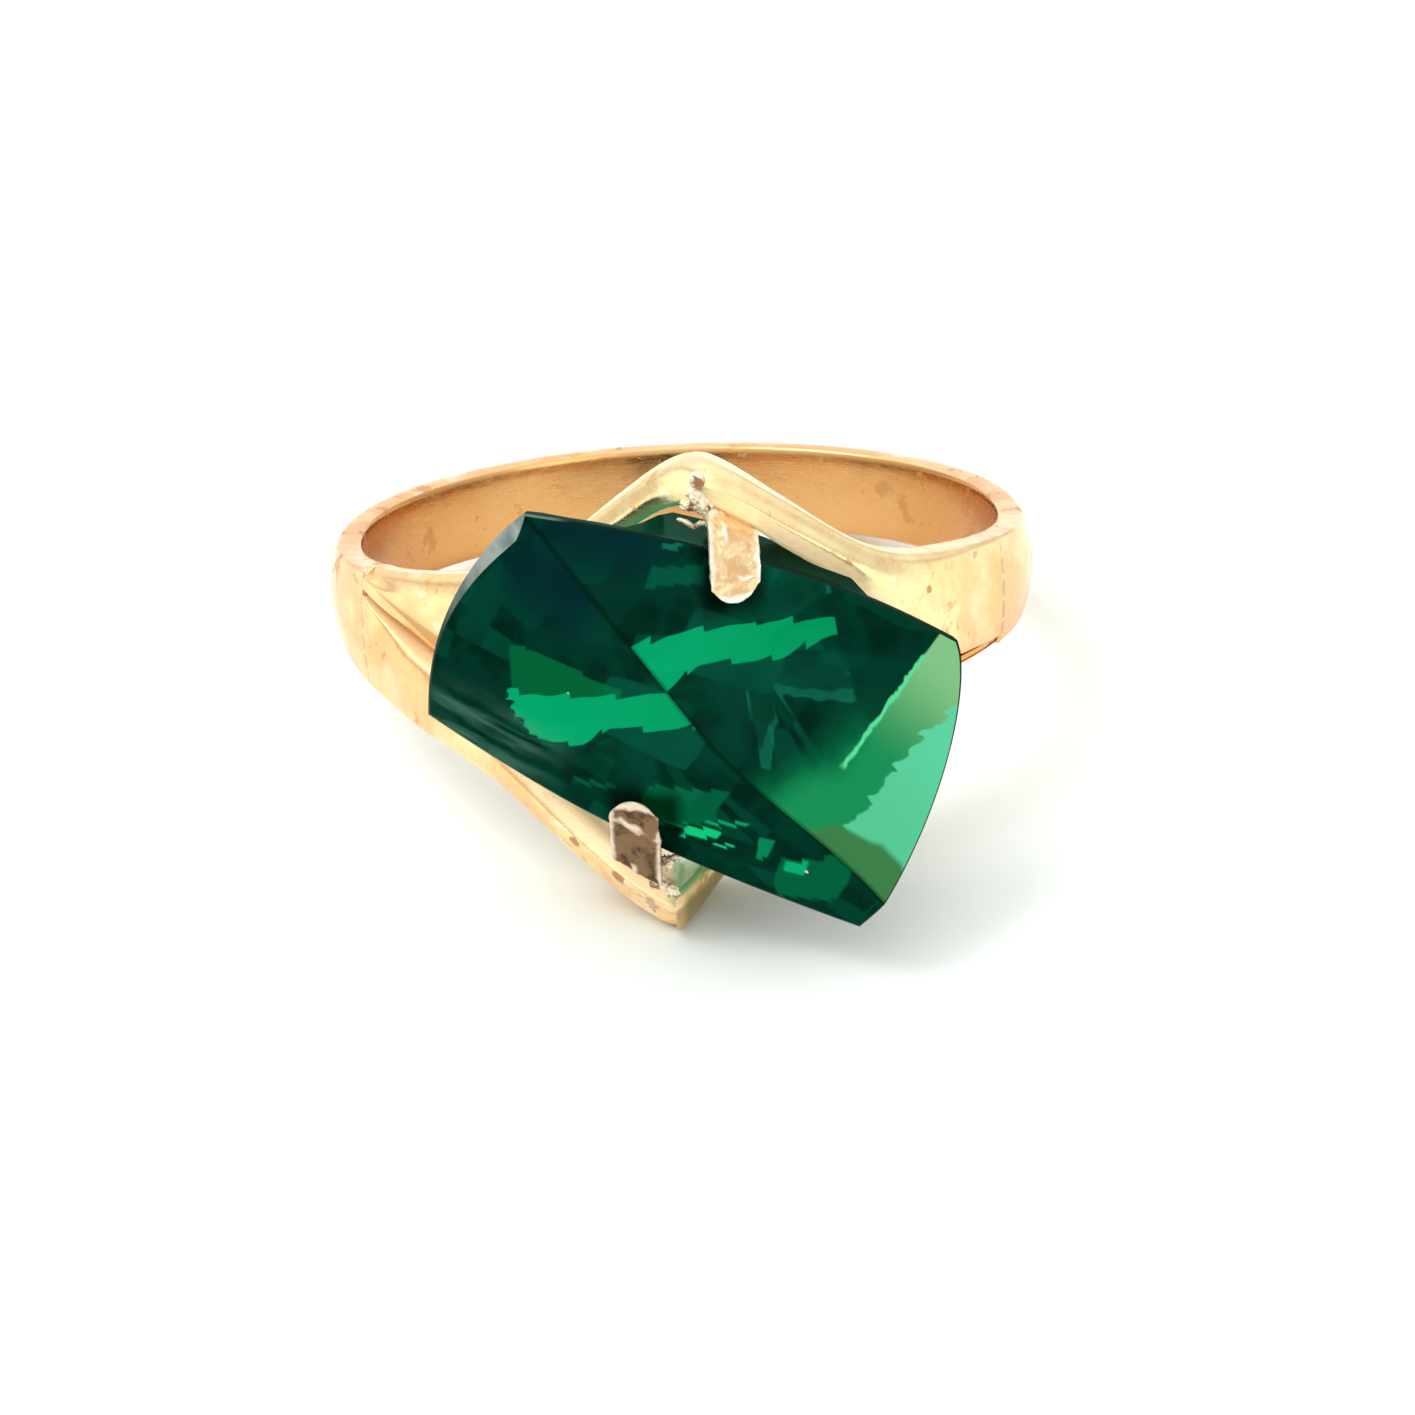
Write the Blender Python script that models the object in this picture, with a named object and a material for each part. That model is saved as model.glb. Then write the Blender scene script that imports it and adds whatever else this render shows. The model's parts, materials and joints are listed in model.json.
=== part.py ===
"""A bypass cocktail ring with a large green stone, built as the goldsmith's separate pieces.

The origin is the centre of the ring's bounding box. +Z runs along the finger hole and the stone
faces -Y. The pieces are first laid out about the centre of the finger hole, with angles measured
around it from the stone (-Y) towards +X, and are then moved together onto the origin.
Sizes below are in millimetres and degrees, and every mesh is written in metres.
"""

import math

import bmesh
import bpy
from mathutils import Matrix, Vector

MM = 0.001

# Band
BORE_RADIUS = 8.65
BAND_OUTER = 9.65
BAND_HALF_WIDTH = 1.25
BAND_DOME = 0.25
JOINT_ANGLE = 62.0
JOINT_GAP = 0.04

# Head: the two apexes where a front rail and a back rail meet
APEX_ANGLE = 2.3
APEX_HEIGHT = 5.98
APEX_ROUNDING = 2.4
APEX_RAISE = 0.35
FRONT_REACH = 12.9
FRONT_BACK = 11.0
FRONT_FLARE_END = 62.0
FRONT_INNER_END = 55.0
FRONT_FLARE_POWER = 1.6
FRONT_INNER_POWER = 1.8

# Outer edge of all four rails: distance from its apex in degrees, height in mm
RIM_EDGE = ((0, 6.10), (5.5, 5.30), (9, 4.76), (13.3, 4.15), (18, 3.50), (23, 2.92), (28, 2.52),
            (34, 2.22), (42, 1.96), (50, 1.78), (60, 1.58), (70, 1.42), (80, 1.29),
            (92, BAND_HALF_WIDTH))
NO_CHANGE = ((0, 0.0), (80, 0.0))
# The lower front rail's outer edge stands a little further out than the upper one's
LOWER_EDGE_EXTRA = ((0, 0.30), (15, 0.36), (40, 0.36), (52, 0.24), (66, 0.10), (80, 0.0))
# Inner edge of each front rail, along its face
UPPER_FRONT_EDGE = ((0, 4.95), (6.7, 3.95), (10, 3.40), (15, 2.70), (20, 2.00), (28, 0.80),
                    (38, -0.60), (46, -1.04), (54, -1.10), (61, -1.14))
LOWER_FRONT_EDGE = ((0, 4.95), (6.7, 4.12), (10, 3.60), (15, 2.85), (20, 2.15), (28, 1.30),
                    (38, 0.50), (46, 0.14), (54, -0.38), (61, -0.95))
# Back rails: face radius, back radius and height of the bar
BACK_FACE = ((0, 11.9), (6, 11.15), (13, 10.4), (25, 9.85), (40, 9.6), (55, 9.5), (66, 9.4))
BACK_INNER = ((0, 10.9), (6, 10.15), (13, 9.4), (25, 8.9), (36, 8.65), (66, 8.65))
# The upper back rail widens at its shoulder, until only a groove parts it from the lower front rail
UPPER_BACK_DEPTH = ((0, 1.10), (24, 1.0), (33, 1.65), (42.6, 2.32), (50.6, 1.78), (58.6, 1.08),
                    (66, 0.40))
LOWER_BACK_DEPTH = ((0, 1.10), (22, 1.0), (36, 0.60), (46, 0.30), (57, 0.24), (66, 0.20))
# The lower back rail reaches further at its apex and is filed closer at its shoulder than the upper one
LOWER_BACK_TRIM = ((0, -0.32), (6, -0.06), (14, 0.0), (22, 0.0), (36, 0.30), (50, 0.32), (60, 0.20),
                   (66, 0.14), (80, 0.0))

# Cross sections: share of the band's dome, and radius of the outer corners
BAND_DOME_SHARE = ((60, 0.45), (95, 1.0))
RAIL_DOME_SHARE = ((0, 1.0), (40, 0.5), (60, 0.45))
SHOULDER_CORNER = 0.16
RAIL_CORNER = ((0, 0.42), (30, 0.34), (60, SHOULDER_CORNER))
BACK_RAIL_DOME = 0.08
BACK_RAIL_CORNER = 0.3
INNER_EDGE_BEVEL = 0.08
CORNER_LIMIT = 0.42
BEVEL_LIMIT = 0.2

# Stone, in its own axes: U along the long sides, V across, both in the plane facing the viewer
STONE_TURN = 24.6
STONE_OFFSET = (0.13, 0.03)
STONE_HALF_LENGTH = 5.78
STONE_HALF_WIDTH = 3.42
LONG_SIDE_BULGE = 0.45
SHORT_END_BULGE = 0.66
RIGHT_END_SKEW = 0.78
RIDGE_REACH = 15.2
CORNER_DROP = 4.4
CROWN_CURVE = 1.15
RIDGE_DRIFT = 0.95
GIRDLE = 0.45
PAVILION_STEPS = ((0.80, 0.36), (0.50, 0.74), (0.24, 1.0))
PAVILION_BACK = 9.6

# Prongs: left side, right side and tip, seen with the prong at the top
UPPER_PRONG = (0.70, 1.88, 2.72)
LOWER_PRONG = (0.88, 2.06, 2.28)
PRONG_THICKNESS = 0.48
PRONG_FOLD = 0.18
PRONG_TIP_ROUND = 0.25
PRONG_ROOT_BACK = 11.7
PRONG_AXIS = 12.3
FIT_GAP = 0.05
# The bent end face of a prong in convex parts, as places in its outline
PRONG_END_PARTS = ((0, 1, 2, 8), (2, 3, 8), (3, 4, 7, 8), (4, 5, 6, 7))

# Solder beads in the inner corners of the apexes
BEAD_RADIUS = 0.31
BEAD_PLACE = (0.28, -12.3, 4.42)
BEAD_RIPPLE = 0.08

BAND_STATIONS = 72
RAIL_STATIONS = 34
STATION_BUNCHING = 1.25
ARC_STEPS = 3
FACE_STEPS = 4
SIDE_STEPS = 14
CROWN_ROWS = 6
CORNER_STEPS = 3
PRONG_STEPS = 6
HALVINGS = 40
SHARP_ANGLE = 32.0


def clear_scene():
    for item in list(bpy.data.objects):
        bpy.data.objects.remove(item, do_unlink=True)


def material(name, colour, metallic, roughness, transmission=0.0):
    made = bpy.data.materials.new(name)
    made.use_nodes = True
    shader = made.node_tree.nodes["Principled BSDF"]
    shader.inputs["Base Color"].default_value = (*colour, 1.0)
    shader.inputs["Metallic"].default_value = metallic
    shader.inputs["Roughness"].default_value = roughness
    shader.inputs["Transmission Weight"].default_value = transmission
    made.diffuse_color = (*colour, 1.0)
    return made


def smooth_curve(points, position):
    """Height of a smooth curve through (position, height) points."""
    places = [float(p[0]) for p in points]
    values = [float(p[1]) for p in points]
    if position <= places[0]:
        return values[0]
    if position >= places[-1]:
        return values[-1]
    index = next(i for i in range(len(places) - 1) if position <= places[i + 1])

    def slope(i):
        if i == 0:
            return (values[1] - values[0]) / (places[1] - places[0])
        if i == len(places) - 1:
            return (values[-1] - values[-2]) / (places[-1] - places[-2])
        before = (values[i] - values[i - 1]) / (places[i] - places[i - 1])
        after = (values[i + 1] - values[i]) / (places[i + 1] - places[i])
        return 0.0 if before * after <= 0 else 2 * before * after / (before + after)

    span = places[index + 1] - places[index]
    t = (position - places[index]) / span
    rise = slope(index) * span
    run = slope(index + 1) * span
    start, end = values[index], values[index + 1]
    return ((2 * t**3 - 3 * t**2 + 1) * start + (t**3 - 2 * t**2 + t) * rise
            + (3 * t**2 - 2 * t**3) * end + (t**3 - t**2) * run)


def around(radius, angle, height):
    """Point at a radius and an angle around the finger hole."""
    turn = math.radians(angle)
    return Vector((radius * math.sin(turn), -radius * math.cos(turn), height)) * MM


def bar_section(inner, outer, low, high, dome, corner):
    """Radius and height of the points of a bar's section: flat back, domed and rounded front."""
    corner = min(corner, CORNER_LIMIT * (high - low), CORNER_LIMIT * (outer - dome - inner))
    edge = min(INNER_EDGE_BEVEL, BEVEL_LIMIT * (high - low))
    rim = outer - dome
    points = [(inner, low + edge), (inner + edge, low)]
    for step in range(ARC_STEPS + 1):
        turn = math.radians(-90 + 90 * step / ARC_STEPS)
        points.append((rim - corner + corner * math.cos(turn), low + corner + corner * math.sin(turn)))
    for step in range(1, FACE_STEPS):
        share = step / FACE_STEPS
        height = low + corner + (high - low - 2 * corner) * share
        points.append((rim + dome * (1 - (2 * share - 1) ** 2), height))
    for step in range(ARC_STEPS + 1):
        turn = math.radians(90 * step / ARC_STEPS)
        points.append((rim - corner + corner * math.cos(turn), high - corner + corner * math.sin(turn)))
    points += [(inner + edge, high), (inner, high - edge)]
    return points


def loft(name, rings, finish, turned=False, cap_parts=None):
    """Closed solid through equal rings of points, capped at both ends, in convex parts if given."""
    mesh = bpy.data.meshes.new(name)
    work = bmesh.new()
    rows = [[work.verts.new(point) for point in ring] for ring in rings]
    count = len(rings[0])
    for near, far in zip(rows, rows[1:]):
        for i in range(count):
            j = (i + 1) % count
            work.faces.new((near[i], near[j], far[j], far[i]))
    for part in cap_parts or (range(count),):
        work.faces.new([rows[0][i] for i in reversed(part)])
        work.faces.new([rows[-1][i] for i in part])
    return finish_solid(name, mesh, work, finish, turned)


def finish_solid(name, mesh, work, finish, turned):
    if turned:
        bmesh.ops.transform(work, matrix=Matrix.Rotation(math.pi, 4, "Y"), verts=work.verts)
    bmesh.ops.triangulate(work, faces=work.faces)
    bmesh.ops.recalc_face_normals(work, faces=work.faces)
    if work.calc_volume(signed=True) < 0:
        bmesh.ops.reverse_faces(work, faces=work.faces)
    work.to_mesh(mesh)
    work.free()
    mesh.shade_smooth()
    mesh.set_sharp_from_angle(angle=math.radians(SHARP_ANGLE))
    mesh.materials.append(finish)
    item = bpy.data.objects.new(name, mesh)
    bpy.context.scene.collection.objects.link(item)
    return item


def rim_height(distance):
    """Outer edge of a rail, with the apex rounded over."""
    eased = math.sqrt(distance**2 + APEX_ROUNDING**2) - APEX_RAISE * APEX_ROUNDING
    return min(smooth_curve(RIM_EDGE, eased), APEX_HEIGHT)


def front_face(distance):
    share = max(0.0, 1 - (distance + APEX_ANGLE) / FRONT_FLARE_END)
    return BAND_OUTER + (FRONT_REACH - BAND_OUTER) * share**FRONT_FLARE_POWER


def front_inner(distance):
    share = max(0.0, 1 - (distance + APEX_ANGLE) / FRONT_INNER_END)
    return BORE_RADIUS + (FRONT_BACK - BORE_RADIUS) * share**FRONT_INNER_POWER


def band_edges(angle):
    """Lower and upper edge of the band, widening towards the shoulders where the rails begin."""
    from_front = min(angle, 360 - angle)
    near, far = from_front - APEX_ANGLE, from_front + APEX_ANGLE
    if angle < 180:
        return smooth_curve(LOWER_BACK_TRIM, far) - rim_height(far), rim_height(near)
    return -rim_height(near) - smooth_curve(LOWER_EDGE_EXTRA, near), rim_height(far)


def make_shank(gold):
    """C-shaped band round the back, from one shoulder joint to the other."""
    rings = []
    for step in range(BAND_STATIONS + 1):
        angle = JOINT_ANGLE + (360 - 2 * JOINT_ANGLE) * step / BAND_STATIONS
        low, high = band_edges(angle)
        share = smooth_curve(BAND_DOME_SHARE, min(angle, 360 - angle))
        section = bar_section(BORE_RADIUS, BAND_OUTER, low, high, BAND_DOME * share, SHOULDER_CORNER)
        rings.append([around(radius, angle, height) for radius, height in section])
    return loft("shank", rings, gold)


def make_front_rail(name, inner_edge, outer_extra, gold, turned):
    """Broad outer rail sweeping from one shoulder up to its apex."""
    rings = []
    end = JOINT_ANGLE - APEX_ANGLE - math.degrees(JOINT_GAP / BAND_OUTER)
    start = math.degrees(JOINT_GAP / 2 / FRONT_REACH)
    for step in range(RAIL_STATIONS + 1):
        distance = start + (end - start) * (step / RAIL_STATIONS) ** STATION_BUNCHING
        high = rim_height(distance) + smooth_curve(outer_extra, distance)
        low = smooth_curve(inner_edge, distance)
        share = smooth_curve(RAIL_DOME_SHARE, distance)
        corner = smooth_curve(RAIL_CORNER, distance)
        section = bar_section(front_inner(distance), front_face(distance), low, high,
                              BAND_DOME * share, corner)
        rings.append([around(radius, APEX_ANGLE + distance, height) for radius, height in section])
    return loft(name, rings, gold, turned)


def make_back_rail(name, bar_depth, trim, gold, turned):
    """Narrow recessed rail from the other shoulder to the same apex, passing behind the stone."""
    rings = []
    end = JOINT_ANGLE + APEX_ANGLE - math.degrees(JOINT_GAP / BAND_OUTER)
    start = math.degrees(JOINT_GAP / 2 / FRONT_REACH)
    for step in range(RAIL_STATIONS + 1):
        distance = start + (end - start) * (step / RAIL_STATIONS) ** STATION_BUNCHING
        high = rim_height(distance) - smooth_curve(trim, distance)
        low = high - smooth_curve(bar_depth, distance)
        section = bar_section(smooth_curve(BACK_INNER, distance), smooth_curve(BACK_FACE, distance),
                              low, high, BACK_RAIL_DOME, BACK_RAIL_CORNER)
        rings.append([around(radius, APEX_ANGLE - distance, height) for radius, height in section])
    return loft(name, rings, gold, turned)


def stone_place(u, v):
    """X and Z of a point given along and across the stone."""
    turn = math.radians(STONE_TURN)
    return (STONE_OFFSET[0] + u * math.cos(turn) + v * math.sin(turn),
            STONE_OFFSET[1] - u * math.sin(turn) + v * math.cos(turn))


def ridge_axes(u, v):
    """Distances along and across the diagonal between the stone's two high corners."""
    a, b = STONE_HALF_LENGTH, STONE_HALF_WIDTH
    diagonal = math.hypot(a, b)
    return (u * a - v * b) / diagonal, (u * b + v * a) / diagonal


def crown_reach(u, v):
    """How far the crown stands out towards the viewer at a point of the stone's outline."""
    along, across = ridge_axes(u, v)
    corner = ridge_axes(STONE_HALF_LENGTH, STONE_HALF_WIDTH)[1]
    return RIDGE_REACH - CORNER_DROP * (abs(across - ridge_drift(along)) / corner) ** CROWN_CURVE


def ridge_drift(along):
    """Sideways drift of the ridge, which meets the lower end just beside its corner."""
    share = min(1.0, max(0.0, along / math.hypot(STONE_HALF_LENGTH, STONE_HALF_WIDTH)))
    return RIDGE_DRIFT * share**2 * (3 - 2 * share)


def side_point(side, share):
    """U and V of a point on one of the four bulged sides."""
    a, b = STONE_HALF_LENGTH, STONE_HALF_WIDTH
    bow = 4 * share * (1 - share)
    if side == "top":
        return (-a + 2 * a * share, b + LONG_SIDE_BULGE * bow)
    if side == "right":
        early = share**RIGHT_END_SKEW
        return (a + SHORT_END_BULGE * 4 * early * (1 - early), b - 2 * b * share)
    if side == "bottom":
        return (a - 2 * a * share, -b - LONG_SIDE_BULGE * bow)
    return (-a - SHORT_END_BULGE * bow, -b + 2 * b * share)


def ridge_end_share():
    """Share of the right end at which the drifting ridge meets it."""
    low, high = 0.5, 1.0
    for _ in range(HALVINGS):
        middle = (low + high) / 2
        along, across = ridge_axes(*side_point("right", middle))
        if across > ridge_drift(along):
            low = middle
        else:
            high = middle
    return (low + high) / 2


def ridge_point(share, start, end):
    """U and V of a point on the ridge, a share of the way between its two ends."""
    a, b = STONE_HALF_LENGTH, STONE_HALF_WIDTH
    diagonal = math.hypot(a, b)
    first, last = ridge_axes(*start)[0], ridge_axes(*end)[0]
    along = first + (last - first) * share
    across = ridge_drift(along)
    return ((along * a + across * b) / diagonal, (across * a - along * b) / diagonal)


def make_stone(gem):
    """Rectangular stone with bowed sides: two crown surfaces meet at a diagonal ridge."""
    turn_at = ridge_end_share()
    upper = [side_point("top", i / SIDE_STEPS) for i in range(SIDE_STEPS)]
    upper += [side_point("right", turn_at * i / SIDE_STEPS) for i in range(SIDE_STEPS + 1)]
    lower = [side_point("left", 1 - i / SIDE_STEPS) for i in range(SIDE_STEPS)]
    lower += [side_point("bottom", 1 - i / SIDE_STEPS) for i in range(SIDE_STEPS)]
    lower += [side_point("right", 1 - (1 - turn_at) * i / CORNER_STEPS) for i in range(CORNER_STEPS + 1)]
    mesh = bpy.data.meshes.new("stone")
    work = bmesh.new()

    def vertex(u, v, reach):
        x, z = stone_place(u, v)
        return work.verts.new(Vector((x, -reach, z)) * MM)

    start, end = upper[0], upper[-1]
    first_vertex = vertex(*start, crown_reach(*start))
    last_vertex = vertex(*end, crown_reach(*end))
    ridge_steps = 2 * SIDE_STEPS
    ridge = [first_vertex]
    for i in range(1, ridge_steps):
        u, v = ridge_point(i / ridge_steps, start, end)
        ridge.append(vertex(u, v, crown_reach(u, v)))
    ridge.append(last_vertex)

    def patch(border):
        """Grid between the ridge and one half of the outline, sharing their end points."""
        count = len(border)
        edge = [first_vertex] + [vertex(u, v, crown_reach(u, v)) for u, v in border[1:-1]] + [last_vertex]
        rows = [edge]
        for row in range(1, CROWN_ROWS):
            share = row / CROWN_ROWS
            line = [first_vertex]
            for i in range(1, count - 1):
                u0, v0 = border[i]
                u1, v1 = ridge_point(i / (count - 1), start, end)
                u, v = u0 + (u1 - u0) * share, v0 + (v1 - v0) * share
                line.append(vertex(u, v, crown_reach(u, v)))
            line.append(last_vertex)
            rows.append(line)
        for near, far in zip(rows, rows[1:]):
            for i in range(count - 1):
                corners = [near[i], near[i + 1], far[i + 1], far[i]]
                distinct = list(dict.fromkeys(corners))
                if len(distinct) > 2:
                    work.faces.new(distinct)
        join_rows(work, rows[-1], ridge)
        return edge

    upper_edge = patch(upper)
    lower_edge = patch(lower)
    outline = upper + list(reversed(lower))[1:-1]
    rim = upper_edge + list(reversed(lower_edge))[1:-1]
    rings = [rim]
    rings.append([vertex(u, v, crown_reach(u, v) - GIRDLE) for u, v in outline])
    for scale, depth in PAVILION_STEPS:
        ring = []
        for u, v in outline:
            girdle = crown_reach(u, v) - GIRDLE
            ring.append(vertex(u * scale, v * scale, girdle + (PAVILION_BACK - girdle) * depth))
        rings.append(ring)
    count = len(outline)
    for near, far in zip(rings, rings[1:]):
        for i in range(count):
            j = (i + 1) % count
            work.faces.new((near[i], near[j], far[j], far[i]))
    work.faces.new(rings[-1])
    return finish_solid("stone", mesh, work, gem, False)


def join_rows(work, row, ridge):
    """Triangles between two rows that share both ends and differ in their number of points."""
    i = j = 0
    while i < len(row) - 1 or j < len(ridge) - 1:
        next_row = (i + 1) / (len(row) - 1) if i < len(row) - 1 else 2.0
        next_ridge = (j + 1) / (len(ridge) - 1) if j < len(ridge) - 1 else 2.0
        if next_row <= next_ridge:
            corners = (row[i], row[i + 1], ridge[j])
            i += 1
        else:
            corners = (row[i], ridge[j + 1], ridge[j])
            j += 1
        if len(set(corners)) == 3:
            work.faces.new(corners)


def stone_side_height(x, facing):
    """Height of the stone's long side at a place along X, on the side that a prong faces."""
    side = "top" if facing > 0 else "bottom"
    low, high = 0.0, 1.0
    for _ in range(HALVINGS):
        middle = (low + high) / 2
        if facing * stone_place(*side_point(side, middle))[0] < x:
            low = middle
        else:
            high = middle
    return facing * stone_place(*side_point(side, low))[1]


def crown_reach_at(x, z):
    """How far the crown stands out at a place in X and Z."""
    turn = math.radians(STONE_TURN)
    x, z = x - STONE_OFFSET[0], z - STONE_OFFSET[1]
    return crown_reach(x * math.cos(turn) - z * math.sin(turn), x * math.sin(turn) + z * math.cos(turn))


def make_prong(name, size, rail_edge, gold, turned):
    """Flat tab from under the front rail, bent over the middle of the stone's long side."""
    left, right, lowest = size
    facing = -1 if turned else 1
    rings = []
    for step in range(PRONG_STEPS + 1):
        share = step / PRONG_STEPS
        x = left + (right - left) * share
        distance = math.degrees(math.atan2(x, PRONG_AXIS)) - APEX_ANGLE
        top = smooth_curve(rail_edge, distance) - FIT_GAP
        side = stone_side_height(x, facing) + FIT_GAP
        tip = lowest + PRONG_TIP_ROUND * (2 * share - 1) ** 2
        middle = (side + tip) / 2
        lip, rest, bend = (crown_reach_at(facing * x, facing * z) + FIT_GAP for z in (side, middle, tip))
        front = lip + PRONG_THICKNESS
        profile = [(PRONG_ROOT_BACK, side), (PRONG_ROOT_BACK, top), (front - PRONG_FOLD, top),
                   (front, top - PRONG_FOLD / 2), (rest + PRONG_THICKNESS, middle),
                   (bend + PRONG_THICKNESS / 2, tip), (bend, tip + PRONG_FOLD / 2), (rest, middle),
                   (lip, side)]
        rings.append([Vector((x, -reach, height)) * MM for reach, height in profile])
    return loft(name, rings, gold, turned, PRONG_END_PARTS)


def make_bead(name, gold, turned):
    """Bead of solder in the inner corner of an apex."""
    mesh = bpy.data.meshes.new(name)
    work = bmesh.new()
    bmesh.ops.create_icosphere(work, subdivisions=2, radius=BEAD_RADIUS * MM)
    for point in work.verts:
        x, y, z = point.co / MM
        ripple = 1 + BEAD_RIPPLE * math.sin(9 * x + 2) * math.cos(7 * z)
        point.co = (Vector(BEAD_PLACE) + Vector((0.95 * x, 1.15 * y, 0.9 * z)) * ripple) * MM
    return finish_solid(name, mesh, work, gold, turned)


def centre_on_box(pieces):
    """Moves the pieces together until the origin is the centre of their bounding box."""
    points = [point.co for piece in pieces for point in piece.data.vertices]
    low = Vector([min(point[axis] for point in points) for axis in range(3)])
    high = Vector([max(point[axis] for point in points) for axis in range(3)])
    for piece in pieces:
        piece.data.transform(Matrix.Translation((low + high) / -2))


def main():
    clear_scene()
    band_gold = material("band_gold", (0.93, 0.66, 0.40), 1.0, 0.16)
    rail_gold = material("rail_gold", (0.95, 0.78, 0.48), 1.0, 0.18)
    prong_gold = material("prong_gold", (0.80, 0.64, 0.50), 1.0, 0.28)
    solder = material("solder", (0.86, 0.78, 0.62), 1.0, 0.4)
    gem = material("green_stone", (0.01, 0.30, 0.16), 0.0, 0.02, transmission=0.9)

    make_shank(band_gold)
    make_front_rail("upper_front_rail", UPPER_FRONT_EDGE, NO_CHANGE, rail_gold, False)
    make_front_rail("lower_front_rail", LOWER_FRONT_EDGE, LOWER_EDGE_EXTRA, rail_gold, True)
    make_back_rail("upper_back_rail", UPPER_BACK_DEPTH, NO_CHANGE, rail_gold, False)
    make_back_rail("lower_back_rail", LOWER_BACK_DEPTH, LOWER_BACK_TRIM, rail_gold, True)
    make_prong("upper_prong", UPPER_PRONG, UPPER_FRONT_EDGE, prong_gold, False)
    make_prong("lower_prong", LOWER_PRONG, LOWER_FRONT_EDGE, prong_gold, True)
    make_bead("upper_apex_solder", solder, False)
    make_bead("lower_apex_solder", solder, True)
    make_stone(gem)
    centre_on_box(bpy.context.scene.objects)


main()
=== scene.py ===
import json
import math

import bmesh
import bpy
from mathutils import Matrix, Vector, noise


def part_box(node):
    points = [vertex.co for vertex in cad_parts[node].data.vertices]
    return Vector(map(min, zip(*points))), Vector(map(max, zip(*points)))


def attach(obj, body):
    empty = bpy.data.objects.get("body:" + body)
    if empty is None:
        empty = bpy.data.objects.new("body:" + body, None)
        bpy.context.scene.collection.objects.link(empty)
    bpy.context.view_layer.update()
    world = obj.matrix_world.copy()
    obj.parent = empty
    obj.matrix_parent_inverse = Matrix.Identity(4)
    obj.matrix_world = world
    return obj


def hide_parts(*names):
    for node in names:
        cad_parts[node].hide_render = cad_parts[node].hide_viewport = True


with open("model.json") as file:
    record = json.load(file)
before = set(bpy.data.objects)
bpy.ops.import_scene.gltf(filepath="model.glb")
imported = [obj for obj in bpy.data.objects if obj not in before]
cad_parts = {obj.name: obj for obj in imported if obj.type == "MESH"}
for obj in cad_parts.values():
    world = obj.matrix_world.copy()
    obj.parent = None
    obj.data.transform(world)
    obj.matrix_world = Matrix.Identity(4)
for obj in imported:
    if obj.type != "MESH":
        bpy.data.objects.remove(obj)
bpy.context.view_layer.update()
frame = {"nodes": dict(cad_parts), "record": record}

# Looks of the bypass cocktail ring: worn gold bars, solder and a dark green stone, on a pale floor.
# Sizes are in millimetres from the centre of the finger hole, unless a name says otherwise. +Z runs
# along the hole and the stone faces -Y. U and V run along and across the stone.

MM = 0.001
OPENING = frame["record"]["physics"]["openings"][0]["box_m"]
HOLE = (Vector(OPENING[0]) + Vector(OPENING[1])) / 2

# Gold bars
WELD = 1e-6
QUAD_ANGLE = math.radians(60)
CAP_FACING = 0.97
SMOOTH_LEVELS = 2
SHARP = math.radians(38)
SHOULDER_REACH = 0.12
APEX_REACH = 0.05
APEX_ANGLE = 2.3
BAR_SEED = 2
END_SIDES = 6
# Radius of a rail's middle line at its apex, and its fall per degree from there
FRONT_MIDDLE = (11.95, 0.09)
BACK_MIDDLE = (11.4, 0.125)
# At an apex the back rail's face is filed forward to the front rail's, over this many degrees
MEET_SPAN = 6.0
MEET_PUSH = 0.95
# At a shoulder the rails are filed flush with the band: its lower and upper edge there, left and right
FLUSH_FROM = 50.0
FLUSH_SPAN = 9.0
FLUSH_BEYOND = 9.15
FLUSH_EDGE = 0.02
LEFT_EDGES = (-1.75, 1.51)
RIGHT_EDGES = (-1.34, 1.58)
SHOULDER_RIM = 9.5375
SHOULDER_DOME = 0.1125
SHOULDER_CORNER = 0.16
# The lower apex's bars are deeper towards the finger
DEEP_SPAN = 16.0
DEEP_PULL = 0.8
HAND_WAVE = 0.010
HAND_WAVE_SCALE = 0.55
FILE_WAVE = 0.003
FILE_WAVE_SCALE = 2.6

# Prongs
PRONG_FLAT = math.radians(20)
PRONG_EDGE = math.radians(24)
PRONG_CREASE = 0.62
PRONG_LEVELS = 4
RIM_HEIGHT = 0.035
RIDGE_HEIGHT = 0.055
TIP_ROUND = 0.22
ROUGH_SCALE = 3.2
ROUGH_HEIGHT = 0.020
WOBBLE = 0.09
# Wear and painted highlight, in shares of a tab's width and of its length from the tip
RIM_WIDTH = 0.15
TIP_LINE = (0.04, 0.08)
UPPER_RIM_LEAST = 0.7
UPPER_RIDGE = (0.28, 0.07)
UPPER_RIDGE_FROM = 0.25
UPPER_FOLD = (0.30, 0.04)
LOWER_RIM_LEAST = 0.35
LOWER_RIDGE = (0.14, 0.05)
LOWER_RIDGE_SLOPE = 0.30
LOWER_FOLD = (0.45, 0.09)
LOWER_FOLD_FROM = 0.72
TIP_ROUND_SHARE = 0.35

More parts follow.
